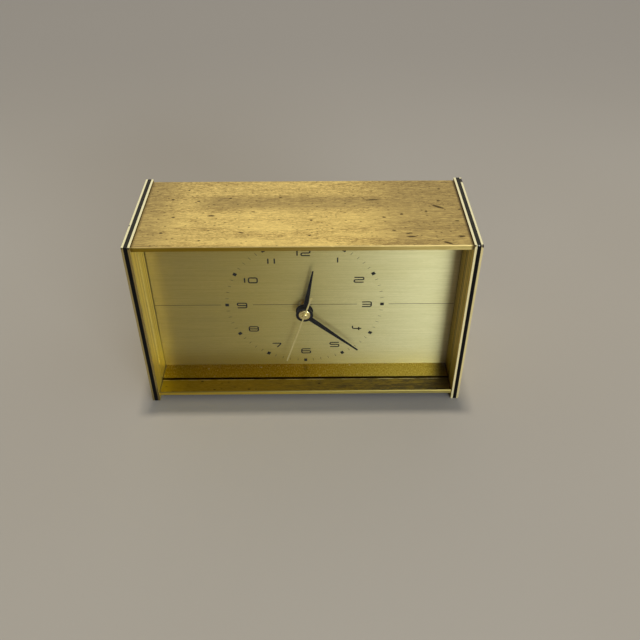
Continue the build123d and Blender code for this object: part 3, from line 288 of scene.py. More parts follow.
# Brass of the top plate: short brushed streaks, a painted highlight toward the front, a dull band and dull
# ends, specks and stains
def top_plate_finish():
    dark_grain = (0.330, 0.218, 0.058)
    light_grain = (0.820, 0.605, 0.190)
    mottled = (0.250, 0.165, 0.048)
    streaked = (0.300, 0.200, 0.060)
    painted_highlight = (0.930, 0.700, 0.220)
    darker_brown = (0.185, 0.131, 0.050)
    stained = (0.062, 0.040, 0.015)
    shaded_left_cut = (0.262, 0.166, 0.013), (0.334, 0.219, 0.022)
    lit_right_cut = (0.450, 0.336, 0.095), (0.580, 0.450, 0.150)
    painted_chamfer = (0.74, 0.57, 0.21)
    gap_shade = (0.075, 0.048, 0.018)
    f = Finish("brushed_brass_top", Metallic=1.0, Anisotropic=0.4)
    f.brushed_round("X")
    x, y, _ = f.axes()
    fine = f.noise((3.0, 0.65, 0.65), 5.0, 0.78)
    mottle = f.noise((1.4, 0.65, 0.65), 3.0, 0.7, (4, 2, 0))
    drawn = f.noise((70, 0.55, 0.55), 2.0, 0.6, (1, 6, 0))
    broad = f.noise((48, 8, 20), 3.0, 0.6)
    base = f.mix(f.step(fine, 0.38, 0.60), dark_grain, light_grain)
    base = f.mix(f.step(mottle, 0.46, 0.66, 0.0, 0.52), base, mottled)
    base = f.mix(f.step(drawn, 0.50, 0.68, 0.0, 0.45), base, streaked)
    # Painted highlight: broad brighter patches, stronger toward the front
    bright = f.times(f.step(broad, 0.38, 0.62), f.step(y, 30, -26, 0.15, 0.55))
    base = f.mix(bright, base, painted_highlight)
    # Dull band of tarnish along the back third from the left quarter on, and dull ends
    wander = f.noise((34, 14, 20), 3.0, 0.6, (3, 1, 0))
    band = f.step(f.off(y, f.scaled(wander, 8.0, 4.5)), 11, 3)
    band = f.times(band, f.step(x, -68, -46))
    right_end = f.step(x, 18, 60)
    left_end = f.step(x, -60, -84, 0.0, 0.9)
    patchy = f.step(f.noise((7.0, 1.0, 6), 5.0, 0.75, (7, 3, 0)), 0.28, 0.62, 0.40, 1.0)
    dull = f.times(f.most(band, right_end, left_end), patchy)
    base = f.mix(f.times(dull, 0.75), base, darker_brown)
    # Many small specks, and the larger stains
    dark = f.times(f.specks((2.6, 1.5, 1.5), 0.36, 0.12, 0.55), 0.8)
    for place, length, width, turn in TOP_STAINS:
        stain = f.mark(place, length, width * STAIN_SPREAD, turn)
        dark = f.most(dark, f.times(stain, STAIN_STRENGTH))
    base = f.mix(dark, base, stained)
    # The cut front and rear faces: painted shade on the left and painted light on the right, a painted
    # highlight on their chamfers, and painted shade in the gaps at the walls, deeper on the right
    _, to_back, to_top = f.facing()
    cut = f.step(f.size(to_back), 0.5, 0.6)
    grain = f.step(f.noise((30, 0.6, 0.6), 3.0, 0.6), 0.32, 0.68)
    face = f.mix(f.step(x, -60, 85), f.mix(grain, *shaded_left_cut), f.mix(grain, *lit_right_cut))
    base = f.mix(cut, base, face)
    base = f.mix(f.times(cut, f.step(to_top, 0.4, 0.6)), base, painted_chamfer)
    painted_gap = f.step(f.size(x), WALL - 2.0, WALL - 0.7)
    base = f.mix(f.times(painted_gap, f.on_right(x, 0.45, 0.9)), base, gap_shade)
    f.set("Base Color", base)
    f.set("Roughness", f.scaled(dark, 0.2, f.scaled(dull, 0.12, 0.36)))
    f.bump(f.scaled(fine, 0.6, mottle), 0.2, 0.02)
    return f


# Brass of the bottom plate: tarnished and spotted in front of the glass, dusty behind it
def bottom_plate_finish():
    dark_grain = (0.43, 0.280, 0.015)
    light_grain = (0.59, 0.410, 0.044)
    green_end = (0.355, 0.295, 0.020)
    darker_brown = (0.105, 0.080, 0.036)
    spotted = (0.05, 0.035, 0.015)
    dusty = (0.85, 0.80, 0.62)
    dial_reflection = (0.48, 0.43, 0.150)
    pale_film = (0.78, 0.64, 0.22)
    dim_film = (0.20, 0.125, 0.006)
    dark_right_end = (0.070, 0.045, 0.014)
    left_gap_glint = (0.30, 0.26, 0.17)
    right_gap_shade = (0.075, 0.034, 0.016)
    left_lip_reflection = (0.92, 0.66, 0.09)
    right_lip_reflection = (0.44, 0.345, 0.095)
    painted_chamfer = (0.42, 0.325, 0.085)
    painted_glass_line = (0.86, 0.72, 0.38)
    shaded = (0.075, 0.050, 0.010)
    f = Finish("brushed_brass_bottom", Metallic=1.0, Anisotropic=0.5)
    f.brushed_round("X")
    x, y, z = f.axes()
    fine = f.noise((3.6, 0.6, 0.6), 4.0, 0.7)
    base = f.mix(f.step(fine, 0.32, 0.70), dark_grain, light_grain)
    base = f.mix(f.step(x, -60, -86, 0.0, 0.7), base, green_end)
    # In front of the glass: tarnish that grows to the right, and dark spots
    exposed = f.step(y, -22.8, -23.4)
    cloudy = f.step(f.noise((7.0, 1.1, 1.1), 5.0, 0.75), 0.32, 0.68, 0.46, 0.88)
    dull = f.times(f.times(exposed, cloudy), f.step(x, -90, 60, 0.20, 1.3), clamp=True)
    base = f.mix(dull, base, darker_brown)
    spots = f.specks((4.2, 2.6, 2.6), 0.30, 0.10, 0.66, (1, 5, 0))
    base = f.mix(f.times(spots, f.scaled(exposed, 0.7, 0.1)), base, spotted)
    # Behind the glass: grains of dust, a painted reflection of the dial that brightens to the right, and an
    # uneven film
    behind = f.step(exposed, 0.9, 0.1)
    dust = f.times(f.specks((4.6, 3, 3), 0.20, 0.07, 0.66, (3, 1, 0)), behind)
    base = f.mix(f.times(dust, 0.8), base, dusty)
    base = f.mix(f.times(f.step(x, -10, 55, 0.0, 0.45), behind), base, dial_reflection)
    film = f.noise((0.6, 1.6, 1.0), 3.0, 0.7, (2, 8, 0))
    base = f.mix(f.times(f.step(film, 0.50, 0.66, 0.0, 0.60), behind), base, pale_film)
    base = f.mix(f.times(f.step(film, 0.48, 0.32, 0.0, 0.60), behind), base, dim_film)
    # Darker towards the right end, and the gaps at the walls: a painted glint in the left gap and painted
    # shade in the right gap
    base = f.mix(f.step(x, 74, 86, 0.0, 0.65), base, dark_right_end)
    painted_gap = f.step(f.size(x), WALL - 1.1, WALL - 0.5)
    base = f.mix(f.times(painted_gap, 0.9), base, f.mix(f.on_right(x), left_gap_glint, right_gap_shade))
    # Front lip with a painted reflection, bright on the left and duller on the right, and a painted highlight
    # on its chamfered edge
    _, to_back, to_top = f.facing()
    lip = f.step(to_back, -0.5, -0.6)
    base = f.mix(lip, base, f.mix(f.step(x, -60, 70), left_lip_reflection, right_lip_reflection))
    base = f.mix(f.times(lip, f.step(to_top, 0.4, 0.6)), base, painted_chamfer)
    # Glass groove: a painted highlight along its front, and painted shade inside it
    groove_highlight = f.step(f.off(y, groove_front - 0.25), 0.3, 0.1)
    groove_highlight = f.times(groove_highlight, f.step(f.noise((9, 2, 2), 2.0), 0.40, 0.60, 0.1, 0.8))
    base = f.mix(groove_highlight, base, painted_glass_line)
    inside = f.times(f.step(y, groove_front - 0.1, groove_front), f.step(z, 5.99, 5.9))
    inside = f.times(inside, f.step(y, groove_rear + 0.1, groove_rear))
    base = f.mix(inside, base, shaded)
    f.set("Base Color", base)
    f.set("Roughness", f.scaled(dull, 0.18, 0.28))
    f.bump(fine, 0.2, 0.02)
    return f


# Scuffs on the end panels: place and reach in mm
LEFT_SCUFFS = [
    ((-92.5, -14, 114.0), 1.3), ((-88.7, -34.2, 113.4), 1.2), ((-92.0, -34.2, 113.5), 1.0),
]
RIGHT_SCUFFS = [
    ((92.0, 31.0, 113.9), 3.2), ((92.4, -34.2, 113.8), 1.9), ((88.2, -34.2, 113.8), 1.2),
]


# Brass of the end panels: fine upright grain, streaked walls inside with painted light and shade, cut edges
# with painted light and shade, scuffed corners
def panel_finish(name, scuffs, inner_edge_shading, outer_edge_shading, edge_metal):
    dark_grain = (0.76, 0.60, 0.24)
    light_grain = (0.88, 0.74, 0.36)
    streaked = (0.66, 0.50, 0.17)
    spotted = (0.16, 0.11, 0.04)
    left_wall = (0.235, 0.172, 0.020), (0.545, 0.408, 0.080)
    right_wall = (0.150, 0.100, 0.012), (0.880, 0.670, 0.165)
    shaded = (0.010, 0.006, 0.002)
    bottom_plate_reflection = (0.66, 0.525, 0.062)
    painted_glass_line = (0.16, 0.13, 0.06)
    top_edge_highlight = (0.93, 0.85, 0.50)
    scuffed = (0.05, 0.04, 0.03)
    f = Finish(name, Metallic=1.0, Anisotropic=0.45)
    f.brushed_round("Z")
    x, y, z = f.axes()
    fine = f.noise((0.7, 0.7, 26), 3.0, 0.6)
    streak = f.noise((5, 2.6, 160), 2.0, 0.5)
    base = f.mix(f.step(fine, 0.3, 0.7), dark_grain, light_grain)
    base = f.mix(f.step(streak, 0.35, 0.68, 0.0, 0.4), base, streaked)
    spots = f.specks((5, 5, 7), 0.10, 0.03, 0.75, (2, 0, 4))
    base = f.mix(f.times(spots, 0.6), base, spotted)
    # The wall inside: upright streaks, a painted shade line at the dial, a painted reflection of the bottom
    # plate that grows toward the foot, and a painted shade line along the glass
    inside = f.step(f.size(x), WALL + 0.06, WALL + 0.02)
    lines = f.step(f.noise((3, 1.1, 400), 2.0, 0.6, (0, 5, 0)), 0.40, 0.62)
    wall = f.mix(f.on_right(x), f.mix(lines, *left_wall), f.mix(lines, *right_wall))
    base = f.mix(f.times(inside, 0.8), base, wall)
    corner = f.times(inside, f.step(f.maths("SUBTRACT", dial_front, y), 1.4, 0.9))
    corner = f.times(corner, f.step(y, dial_front + 0.2, dial_front + 0.1))
    base = f.mix(f.times(corner, 0.97), base, shaded)
    base = f.mix(f.times(inside, f.step(z, 50, 10, 0.0, 0.6)), base, bottom_plate_reflection)
    line = f.times(f.step(f.off(y, glass_front), 0.5, 0.2), inside)
    base = f.mix(f.times(line, 0.6), base, painted_glass_line)
    # The cut edges: a painted highlight on top, and in front painted light and shade set per panel, bright on
    # the right panel and dark on the left
    _, to_back, to_top = f.facing()
    base = f.mix(f.step(to_top, 0.55, 0.65), base, top_edge_highlight)
    front = f.step(to_back, -0.55, -0.65)
    outer = f.step(f.size(x), WALL + 2.0, WALL + 2.5)
    base = f.mix(front, base, f.mix(outer, inner_edge_shading, outer_edge_shading))
    f.set("Metallic", f.step(front, 0.0, 1.0, 1.0, edge_metal))
    for place, reach in scuffs:
        base = f.mix(f.near(place, reach, 0.6), base, scuffed)
    f.set("Base Color", base)
    rough = f.scaled(fine, 0.10, f.scaled(inside, 0.30, 0.17))
    f.set("Roughness", f.scaled(spots, 0.2, rough))
    f.bump(fine, 0.12, 0.015)
    return f


# A grey chip with a painted glint at the top of the right panel's black layer, in mm
CORE_CHIP_GLINT = (90.0, -34.2, 114.0)


def core_finish():
    dark_grain = (0.0010, 0.0009, 0.0008)
    light_grain = (0.0040, 0.0034, 0.0028)
    dusty = (0.024, 0.022, 0.015)
    chip_glint = (0.30, 0.29, 0.26)
    f = Finish("black_layer", Roughness=0.5, Specular_IOR_Level=0.08)
    grain = f.noise((0.8, 0.8, 9), 3.0, 0.6)
    base = f.mix(f.step(grain, 0.3, 0.75), dark_grain, light_grain)
    _, _, to_top = f.facing()
    dust = f.times(f.step(to_top, 0.5, 0.6), f.step(grain, 0.2, 0.8, 0.6, 1.0))
    base = f.mix(dust, base, dusty)
    base = f.mix(f.near(CORE_CHIP_GLINT, 0.8, 0.4), base, chip_glint)
    f.set("Base Color", base)
    f.bump(grain, 0.1, 0.02)
    return f


# Satin brass of the dial: level grain, warm on the left with a painted sheen that whitens it on the right,
# and a painted reflection of the brass plates near the top and bottom
def dial_finish():
    warm = (0.575, 0.443, 0.110), (0.663, 0.516, 0.145)
    painted_sheen = (0.580, 0.503, 0.234), (0.672, 0.583, 0.290)
    clouded = (0.50, 0.405, 0.135)
    darker_brown = (0.44, 0.295, 0.018)
    f = Finish(
        "satin_dial", Metallic=1.0, Anisotropic=0.9, Roughness=0.5, Coat_Weight=0.3, Coat_Roughness=0.75,
    )
    f.brushed_round("X")
    x, _, z = f.axes()
    long = f.noise((30, 0.5, 0.42), 3.0, 0.65)
    short = f.noise((2.0, 0.5, 0.42), 3.0, 0.65, (3, 0, 1))
    grain = f.step(f.scaled(short, 0.35, f.times(long, 0.65)), 0.36, 0.64)
    # Painted sheen: the grain turns paler toward the right, where the window light falls
    base = f.mix(f.step(x, -45, 72), f.mix(grain, *warm), f.mix(grain, *painted_sheen))
    cloud = f.noise((40, 20, 14), 3.0, 0.5)
    base = f.mix(f.step(cloud, 0.4, 0.8, 0.0, 0.2), base, clouded)
    # Painted reflection of the top and bottom plates near them, stronger on the left
    low = f.step(z, 26, 6)
    high = f.step(z, 88, 106)
    plate_reflection_mask = f.times(f.most(low, high), f.step(x, -20, 30, 0.75, 0.30))
    base = f.mix(plate_reflection_mask, base, darker_brown)
    f.set("Base Color", base)
    f.bump(long, 0.06, 0.01)
    return f


def glass_finish():
    """Thin clear pane: see-through, with a weak mirror that grows at a glancing look."""
    head_on = 0.015
    glancing = 0.98
    f = Finish("clear_glass", Base_Color=(1, 1, 1, 1), Metallic=1.0, Roughness=0.02)
    clear = f.node("ShaderNodeBsdfTransparent")
    clear.inputs["Color"].default_value = (0.985, 0.995, 0.985, 1)
    away = f.node("ShaderNodeLayerWeight")
    away.inputs["Blend"].default_value = 0.5
    gloss = f.scaled(f.maths("POWER", away.outputs["Facing"], 5.0), glancing, head_on)
    both = f.node("ShaderNodeMixShader")
    f.feed(both.inputs["Fac"], gloss)
    f.feed(both.inputs[1], clear.outputs["BSDF"])
    f.feed(both.inputs[2], f.shader.outputs["BSDF"])
    f.feed(f.tree.nodes["Material Output"].inputs["Surface"], both.outputs["Shader"])
    return f


def print_finish():
    f = Finish("printed_black", Roughness=0.6, Specular_IOR_Level=0.2)
    grain = f.noise((0.25, 0.25, 0.25), 2.0)
    f.set("Base Color", f.mix(grain, (0.003, 0.003, 0.002), (0.012, 0.010, 0.007)))
    return f


def hand_finish():
    f = Finish("black_lacquer", Roughness=0.3, Specular_IOR_Level=0.08)
    grain = f.noise((2.0, 2.0, 2.0), 2.0)
    f.set("Base Color", f.mix(grain, (0.002, 0.002, 0.003), (0.006, 0.006, 0.008)))
    f.bump(f.noise((0.4, 0.4, 0.4), 2.0), 0.05, 0.01)
    return f


def polished_finish(name, dark, light, rough, grain_mm, metal=1.0):
    """Metal or plastic with a fine grain that shifts its colour, gloss and surface a little."""
    spread = 0.12
    f = Finish(name, Metallic=metal)
    grain = f.noise(grain_mm, 3.0, 0.6)
    f.set("Base Color", f.mix(f.step(grain, 0.3, 0.7), dark, light))
    f.set("Roughness", f.scaled(grain, spread, rough - spread / 2))
    f.bump(grain, 0.1, 0.02)
    return f


def crinkle_finish():
    f = Finish("black_crinkle_paint", Roughness=0.5, Specular_IOR_Level=0.45)
    lump = f.noise((0.9, 0.9, 0.9), 2.5, 0.55, distortion=0.8)
    f.set("Base Color", f.mix(f.step(lump, 0.3, 0.7), (0.010, 0.010, 0.011), (0.030, 0.029, 0.028)))
    f.bump(lump, 0.5, 0.12)
    return f


def coil_finish():
    f = Finish("copper_winding", Metallic=1.0, Roughness=0.3)
    wave = f.node("ShaderNodeTexWave", wave_type="BANDS", bands_direction="Y")
    f.feed(wave.inputs["Vector"], f.stretched((1.0, 0.5, 1.0)))
    wave.inputs["Scale"].default_value = 1.0
    f.set("Base Color", f.mix(wave.outputs["Fac"], (0.30, 0.10, 0.035), (0.72, 0.30, 0.12)))
    f.bump(wave.outputs["Fac"], 0.6, 0.08)
    return f


def board_finish():
    f = Finish("brown_board", Roughness=0.45)
    fibre = f.noise((2.5, 2.5, 0.5), 3.0, 0.6)
    f.set("Base Color", f.mix(fibre, (0.10, 0.045, 0.015), (0.22, 0.105, 0.035)))
    f.bump(fibre, 0.15, 0.03)
    return f


def cell_finish(wrap_low, wrap_high):
    """Dull wrap without print between two places across in mm, with bare metal at both ends."""
    dark_wrap = (0.030, 0.050, 0.045)
    light_wrap = (0.055, 0.080, 0.070)
    bare_metal = (0.62, 0.60, 0.56)
    f = Finish("cell_wrap", Coat_Weight=0.3, Coat_Roughness=0.2)
    x, _, _ = f.axes()
    bare = f.most(f.step(x, wrap_low + 0.3, wrap_low), f.step(x, wrap_high - 0.3, wrap_high))
    grain = f.noise((3, 3, 3), 3.0)
    f.set("Base Color", f.mix(bare, f.mix(grain, dark_wrap, light_wrap), bare_metal))
    f.set("Metallic", bare)
    f.set("Roughness", f.scaled(grain, 0.15, 0.3))
    f.bump(grain, 0.08, 0.03)
    return f


# What each piece wears
# Front cut edges with painted shade on the left panel and painted light on the right panel
left_brass = panel_finish(
    "panel_brass_left", LEFT_SCUFFS,
    inner_edge_shading=(0.42, 0.325, 0.12), outer_edge_shading=(0.52, 0.43, 0.19), edge_metal=1.0,
)
right_brass = panel_finish(
    "panel_brass_right", RIGHT_SCUFFS,
    inner_edge_shading=(1.00, 0.86, 0.43), outer_edge_shading=(0.86, 0.70, 0.31), edge_metal=0.60,
)
dial_black = print_finish()
hub_brass = polished_finish(
    "hand_brass", (0.88, 0.70, 0.29), (0.97, 0.83, 0.42), 0.22, (1.0, 1.0, 1.0),
)
pale_brass = polished_finish(
    "pale_brass", (0.62, 0.50, 0.19), (0.74, 0.60, 0.25), 0.4, (0.6, 0.6, 3.0), metal=0.75,
)
plated_brass = polished_finish(
    "plated_brass", (0.62, 0.55, 0.26), (0.74, 0.66, 0.36), 0.34, (0.5, 0.5, 6.0),
)
movement_brass = polished_finish(
    "movement_brass", (0.62, 0.45, 0.16), (0.80, 0.60, 0.24), 0.28, (0.5, 0.5, 9.0),
)
steel = polished_finish(
    "bright_steel", (0.42, 0.42, 0.43), (0.60, 0.60, 0.61), 0.24, (0.8, 0.8, 0.8),
)
plastic = polished_finish(
    "black_plastic", (0.012, 0.012, 0.013), (0.024, 0.023, 0.023), 0.36, (0.6, 2.5, 0.6), metal=0.0,
)
transistor_case = polished_finish(
    "transistor_case", (0.02, 0.02, 0.02), (0.05, 0.05, 0.05), 0.4, (1, 1, 1), metal=0.0,
)
capacitor_can = polished_finish(
    "capacitor_can", (0.45, 0.46, 0.48), (0.62, 0.63, 0.65), 0.3, (1, 8, 1),
)
resistor_body = polished_finish(
    "resistor_body", (0.30, 0.20, 0.11), (0.42, 0.29, 0.17), 0.45, (2, 1, 1), metal=0.0,
)
gold = polished_finish(
    "stamped_gold", (0.56, 0.42, 0.15), (0.70, 0.54, 0.22), 0.38, (0.4, 0.4, 0.4),
)

wear("left_outer_skin", "left_inner_skin", finish=left_brass)
wear("right_outer_skin", "right_inner_skin", finish=right_brass)
wear("left_core", "right_core", finish=core_finish())
wear("top_plate", finish=top_plate_finish())
wear("bottom_plate", finish=bottom_plate_finish())
wear("glass_pane", finish=glass_finish())
wear("dial_plate", finish=dial_finish())
wear("hour_markers", finish=dial_black)
wear("hour_hand", "minute_hand", finish=hand_finish())
wear("hand_cap", "minute_collet", finish=hub_brass)
wear("second_hand", finish=pale_brass)
wear("front_plate", finish=plated_brass)
wear("rear_cover", finish=crinkle_finish())
wear("cell_cradle", "setting_knob", finish=plastic)
wear(
    "rear_plate", "pillars", "dial_feet", "dial_foot_nuts", "hour_wheel", "cannon_pinion",
    "minute_wheel", "third_wheel", "centre_wheel", "index_wheel", "balance_wheel", "balance_cock",
    "clutch_collar", "impulse_roller", finish=movement_brass,
)
wear(
    "panel_screws", "cover_screws", "cradle_screws", "movement_screws", "cock_screw", "board_screws",
    "minute_stud", "seconds_arbor", "third_arbor", "setting_arbor", "balance_staff", "clutch_spring",
    "hairspring", "regulator_clip", "regulator_lever", "board_standoffs", "balance_magnets",
    "positive_contact", "negative_contact", finish=steel,
)
wear("drive_coil", finish=coil_finish())
wear("circuit_board", finish=board_finish())
wear("transistor", finish=transistor_case)
wear("capacitor", finish=capacitor_can)
wear("resistor", finish=resistor_body)

# The cell's bare ends, in mm
BARE_NEGATIVE_END = 3.0
BARE_POSITIVE_END = 2.0
cell_low, cell_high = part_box("cell")
wear("cell", finish=cell_finish(cell_low.x / MM + BARE_POSITIVE_END, cell_high.x / MM - BARE_NEGATIVE_END))


# Solid strokes and shapes in an upright plane, in mm
CORNER_RUNS = 6
SHORTEST_RUN = 1e-9


def round_corners(points, radius, closed):
    """The path with each corner replaced by an arc of short runs."""
    rounded = []
    count = len(points)
    for i, point in enumerate(points):
        here = Vector(point)
        if not closed and i in (0, count - 1):
            rounded.append(here)
            continue
        back = Vector(points[i - 1]) - here
        ahead = Vector(points[(i + 1) % count]) - here
        reach = min(radius, back.length / 2, ahead.length / 2)
        start = here + back.normalized() * reach
        end = here + ahead.normalized() * reach
        for k in range(CORNER_RUNS + 1):
            t = k / CORNER_RUNS
            rounded.append(start * (1 - t) ** 2 + here * 2 * t * (1 - t) + end * t * t)
    return rounded


def direction(start, end):
    run = end - start
    return run.normalized() if run.length > SHORTEST_RUN else None


def add_stroke(mesh, path, width, closed, front, back):
    """Adds a solid ribbon of this width that follows a path."""
    count = len(path)
    rings = []
    for i, point in enumerate(path):
        before = path[i - 1] if closed or i else point
        after = path[(i + 1) % count] if closed or i < count - 1 else point
        into = direction(before, point)
        out = direction(point, after)
        into = into or out
        out = out or into
        along = (into + out).normalized()
        side = Vector((-along.y, along.x))
        half = width / 2 / max(0.5, along.dot(into))
        left = point + side * half
        right = point - side * half
        corners = ((left, front), (right, front), (right, back), (left, back))
        rings.append([mesh.verts.new(Vector((p.x, depth, p.y)) * MM) for p, depth in corners])
    for i in range(count if closed else count - 1):
        ring = rings[i]
        following = rings[(i + 1) % count]
        for k in range(4):
            mesh.faces.new((ring[k], ring[(k + 1) % 4], following[(k + 1) % 4], following[k]))
    if not closed:
        mesh.faces.new(rings[0][::-1])
        mesh.faces.new(rings[-1])


def add_prism(mesh, outline, front, back):
    """Adds a thin solid with this outline."""
    near = [mesh.verts.new(Vector((p.x, front, p.y)) * MM) for p in outline]
    far = [mesh.verts.new(Vector((p.x, back, p.y)) * MM) for p in outline]
    mesh.faces.new(near)
    mesh.faces.new(far[::-1])
    for i in range(len(outline)):
        k = (i + 1) % len(outline)
        mesh.faces.new((near[i], far[i], far[k], near[k]))


def finish_piece(name, mesh, finish, body):
    bmesh.ops.recalc_face_normals(mesh, faces=mesh.faces)
    data = bpy.data.meshes.new(name)
    mesh.to_mesh(data)
    mesh.free()
    data.materials.append(finish.material)
    piece = add_object(name, data)
    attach(piece, body)


# Dial print: numbers, cross line and minute ticks as thin raised strokes on the dial, in mm
AXIS_HEIGHT = 55.0
PRINT_THICKNESS = 0.03
PRINT_BACK = dial_front
PRINT_FRONT = PRINT_BACK - PRINT_THICKNESS
NUMBER_STROKE = 0.80
NUMBER_CORNER = 1.05
NUMBER_TALL = 4.3
NUMBER_WIDE = 6.2
PAIR_WIDE = 5.7
PAIR_ONE_PLACE = -3.7
PAIR_DIGIT_PLACE = 1.0
ELEVEN_HALF_GAP = 1.8
CROSS_STROKE = 0.28
CROSS_END_GAP = 0.2
CROSS_LEFT_END = -49.0
CROSS_MIDDLE = (-30.3, 30.7)
CROSS_RIGHT_START = 49.3
TICK_STROKE = 0.22
TICK_INNER = 44.4
TICK_OUTER = 46.3

# Each digit in a box from -1 to 1: the strokes, and whether each is closed
DIGITS = {
    0: [([(-1, 1), (1, 1), (1, -1), (-1, -1)], True)],
    2: [([(-1, 1), (1, 1), (1, 0), (-1, 0), (-1, -1), (1, -1)], False)],
    3: [([(-1, 1), (1, 1), (1, -1), (-1, -1)], False), ([(-0.95, 0), (0.95, 0)], False)],
    4: [([(-1, 1), (-1, -0.25), (1, -0.25)], False), ([(0.42, 0.45), (0.42, -1)], False)],
    5: [([(1, 1), (-1, 1), (-1, 0.05), (1, 0.05), (1, -1), (-1, -1)], False)],
    6: [([(1, 1), (-1, 1), (-1, -1), (1, -1), (1, 0.05), (-0.95, 0.05)], False)],
    7: [([(-1, 0.85), (1, 0.85), (0.05, -1)], False)],
    8: [([(-1, 1), (1, 1), (1, -1), (-1, -1)], True), ([(-0.95, 0), (0.95, 0)], False)],
    9: [([(-1, -1), (1, -1), (1, 1), (-1, 1), (-1, -0.05), (0.95, -0.05)], False)],
}

# Middle of each number, across and up from the hands' axis
NUMBER_PLACES = {
    12: (0.0, 37.4), 1: (18.9, 32.4), 2: (31.3, 18.2), 3: (36.4, -0.2),
    4: (31.2, -18.9), 5: (17.8, -32.5), 6: (0.4, -37.8), 7: (-17.4, -32.6),
    8: (-30.9, -19.1), 9: (-36.7, -0.5), 10: (-30.3, 18.3), 11: (-18.3, 31.9),
}


def add_upright(mesh, x, z):
    """A 1: one upright stroke."""
    half = (NUMBER_TALL - NUMBER_STROKE) / 2
    path = [Vector((x, z - half)), Vector((x, z + half))]
    add_stroke(mesh, path, NUMBER_STROKE, False, PRINT_FRONT, PRINT_BACK)


def add_digit(mesh, digit, x, z, wide):
    across = (wide - NUMBER_STROKE) / 2
    upward = (NUMBER_TALL - NUMBER_STROKE) / 2
    for points, closed in DIGITS[digit]:
        scaled = [(x + px * across, z + pz * upward) for px, pz in points]
        path = round_corners(scaled, NUMBER_CORNER, closed)
        add_stroke(mesh, path, NUMBER_STROKE, closed, PRINT_FRONT, PRINT_BACK)


def make_numbers():
    mesh = bmesh.new()
    for number, (x, above) in NUMBER_PLACES.items():
        z = AXIS_HEIGHT + above
        if number == 11:
            add_upright(mesh, x - ELEVEN_HALF_GAP, z)
            add_upright(mesh, x + ELEVEN_HALF_GAP, z)
        elif number == 1:
            add_upright(mesh, x, z)
        elif number > 9:
            add_upright(mesh, x + PAIR_ONE_PLACE, z)
            add_digit(mesh, number - 10, x + PAIR_DIGIT_PLACE, z, PAIR_WIDE)
        else:
            add_digit(mesh, number, x, z, NUMBER_WIDE)
    finish_piece("dial_numbers", mesh, dial_black, "case")


def make_cross_line():
    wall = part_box("dial_plate")[1].x / MM - CROSS_END_GAP
    mesh = bmesh.new()
    for start, end in ((-wall, CROSS_LEFT_END), CROSS_MIDDLE, (CROSS_RIGHT_START, wall)):
        path = [Vector((start, AXIS_HEIGHT)), Vector((end, AXIS_HEIGHT))]
        add_stroke(mesh, path, CROSS_STROKE, False, PRINT_FRONT, PRINT_BACK)
    finish_piece("dial_line", mesh, dial_black, "case")


def on_circle(middle, radius, degrees):
    turn = math.radians(degrees)
    return middle + Vector((math.cos(turn), math.sin(turn))) * radius


def make_minute_ticks():
    middle = Vector((0, AXIS_HEIGHT))
    mesh = bmesh.new()
    for minute in range(60):
        if minute % 5 == 0:
            continue
        path = [on_circle(middle, radius, 90 - 6 * minute) for radius in (TICK_INNER, TICK_OUTER)]
        add_stroke(mesh, path, TICK_STROKE, False, PRINT_FRONT, PRINT_BACK)
    finish_piece("dial_minute_ticks", mesh, dial_black, "case")


# Rear print, stamped in gold on the cover: regulator scale, turning arrow and the cell's poles, in mm
STAMP_THICKNESS = 0.05
STAMP_STROKE = 0.55
SIGN_SIZE = 3.4
REGULATOR_ACROSS = -10.0
REGULATOR_REACH = 16.0
REGULATOR_SWING = 20
REGULATOR_SIGN_TURN = 38
SCALE_GAP = 3.0
LONG_MARK = 2.4
SHORT_MARK = 1.5
ARROW_LENGTH = 2.6
ARROW_WIDTH = 2.4
ARROW_GAP = 3.2
ARROW_START = 52
ARROW_END = 128
ARROW_RUN = 4
CELL_SIGN_INSET = 5.0
CELL_SIGN_RISE = 5.0
stamp_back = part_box("rear_cover")[1].y / MM
stamp_front = stamp_back + STAMP_THICKNESS


def add_stamp(mesh, *path):
    add_stroke(mesh, path, STAMP_STROKE, False, stamp_front, stamp_back)


def add_sign(mesh, middle, plus):
    """A minus, or a plus whose upright is in two pieces above and below the bar."""
    reach = SIGN_SIZE / 2
    across = Vector((1, 0))
    upward = Vector((0, 1))
    add_stamp(mesh, middle - across * reach, middle + across * reach)
    if plus:
        for side in (-1, 1):
            add_stamp(mesh, middle + upward * side * STAMP_STROKE / 2, middle + upward * side * reach)


def make_regulator_marks():
    middle = Vector((REGULATOR_ACROSS, AXIS_HEIGHT))
    start = REGULATOR_REACH + SCALE_GAP
    mesh = bmesh.new()
    for turn in range(-REGULATOR_SWING, REGULATOR_SWING + 1, REGULATOR_SWING // 4):
        end = start + (LONG_MARK if turn % REGULATOR_SWING == 0 else SHORT_MARK)
        add_stamp(mesh, on_circle(middle, start, 180 + turn), on_circle(middle, end, 180 + turn))
    add_sign(mesh, on_circle(middle, REGULATOR_REACH, 180 - REGULATOR_SIGN_TURN), True)
    add_sign(mesh, on_circle(middle, REGULATOR_REACH, 180 + REGULATOR_SIGN_TURN), False)
    finish_piece("regulator_marks", mesh, gold, "case")


def make_turning_arrow():
    low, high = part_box("setting_knob")
    middle = Vector((low.x + high.x, low.z + high.z)) / 2 / MM
    radius = (high.x - low.x) / 2 / MM + ARROW_GAP
    bow = range(ARROW_START, ARROW_END + 1, ARROW_RUN)
    mesh = bmesh.new()
    add_stamp(mesh, *[on_circle(middle, radius, degrees) for degrees in bow])
    for end, way in ((ARROW_START, -1), (ARROW_END, 1)):
        base = on_circle(middle, radius, end)
        along = on_circle(Vector((0, 0)), 1, end + 90) * way
        aside = on_circle(Vector((0, 0)), 1, end) * ARROW_WIDTH / 2
        add_prism(mesh, (base + aside, base - aside, base + along * ARROW_LENGTH), stamp_front, stamp_back)
    finish_piece("turning_arrow", mesh, gold, "case")


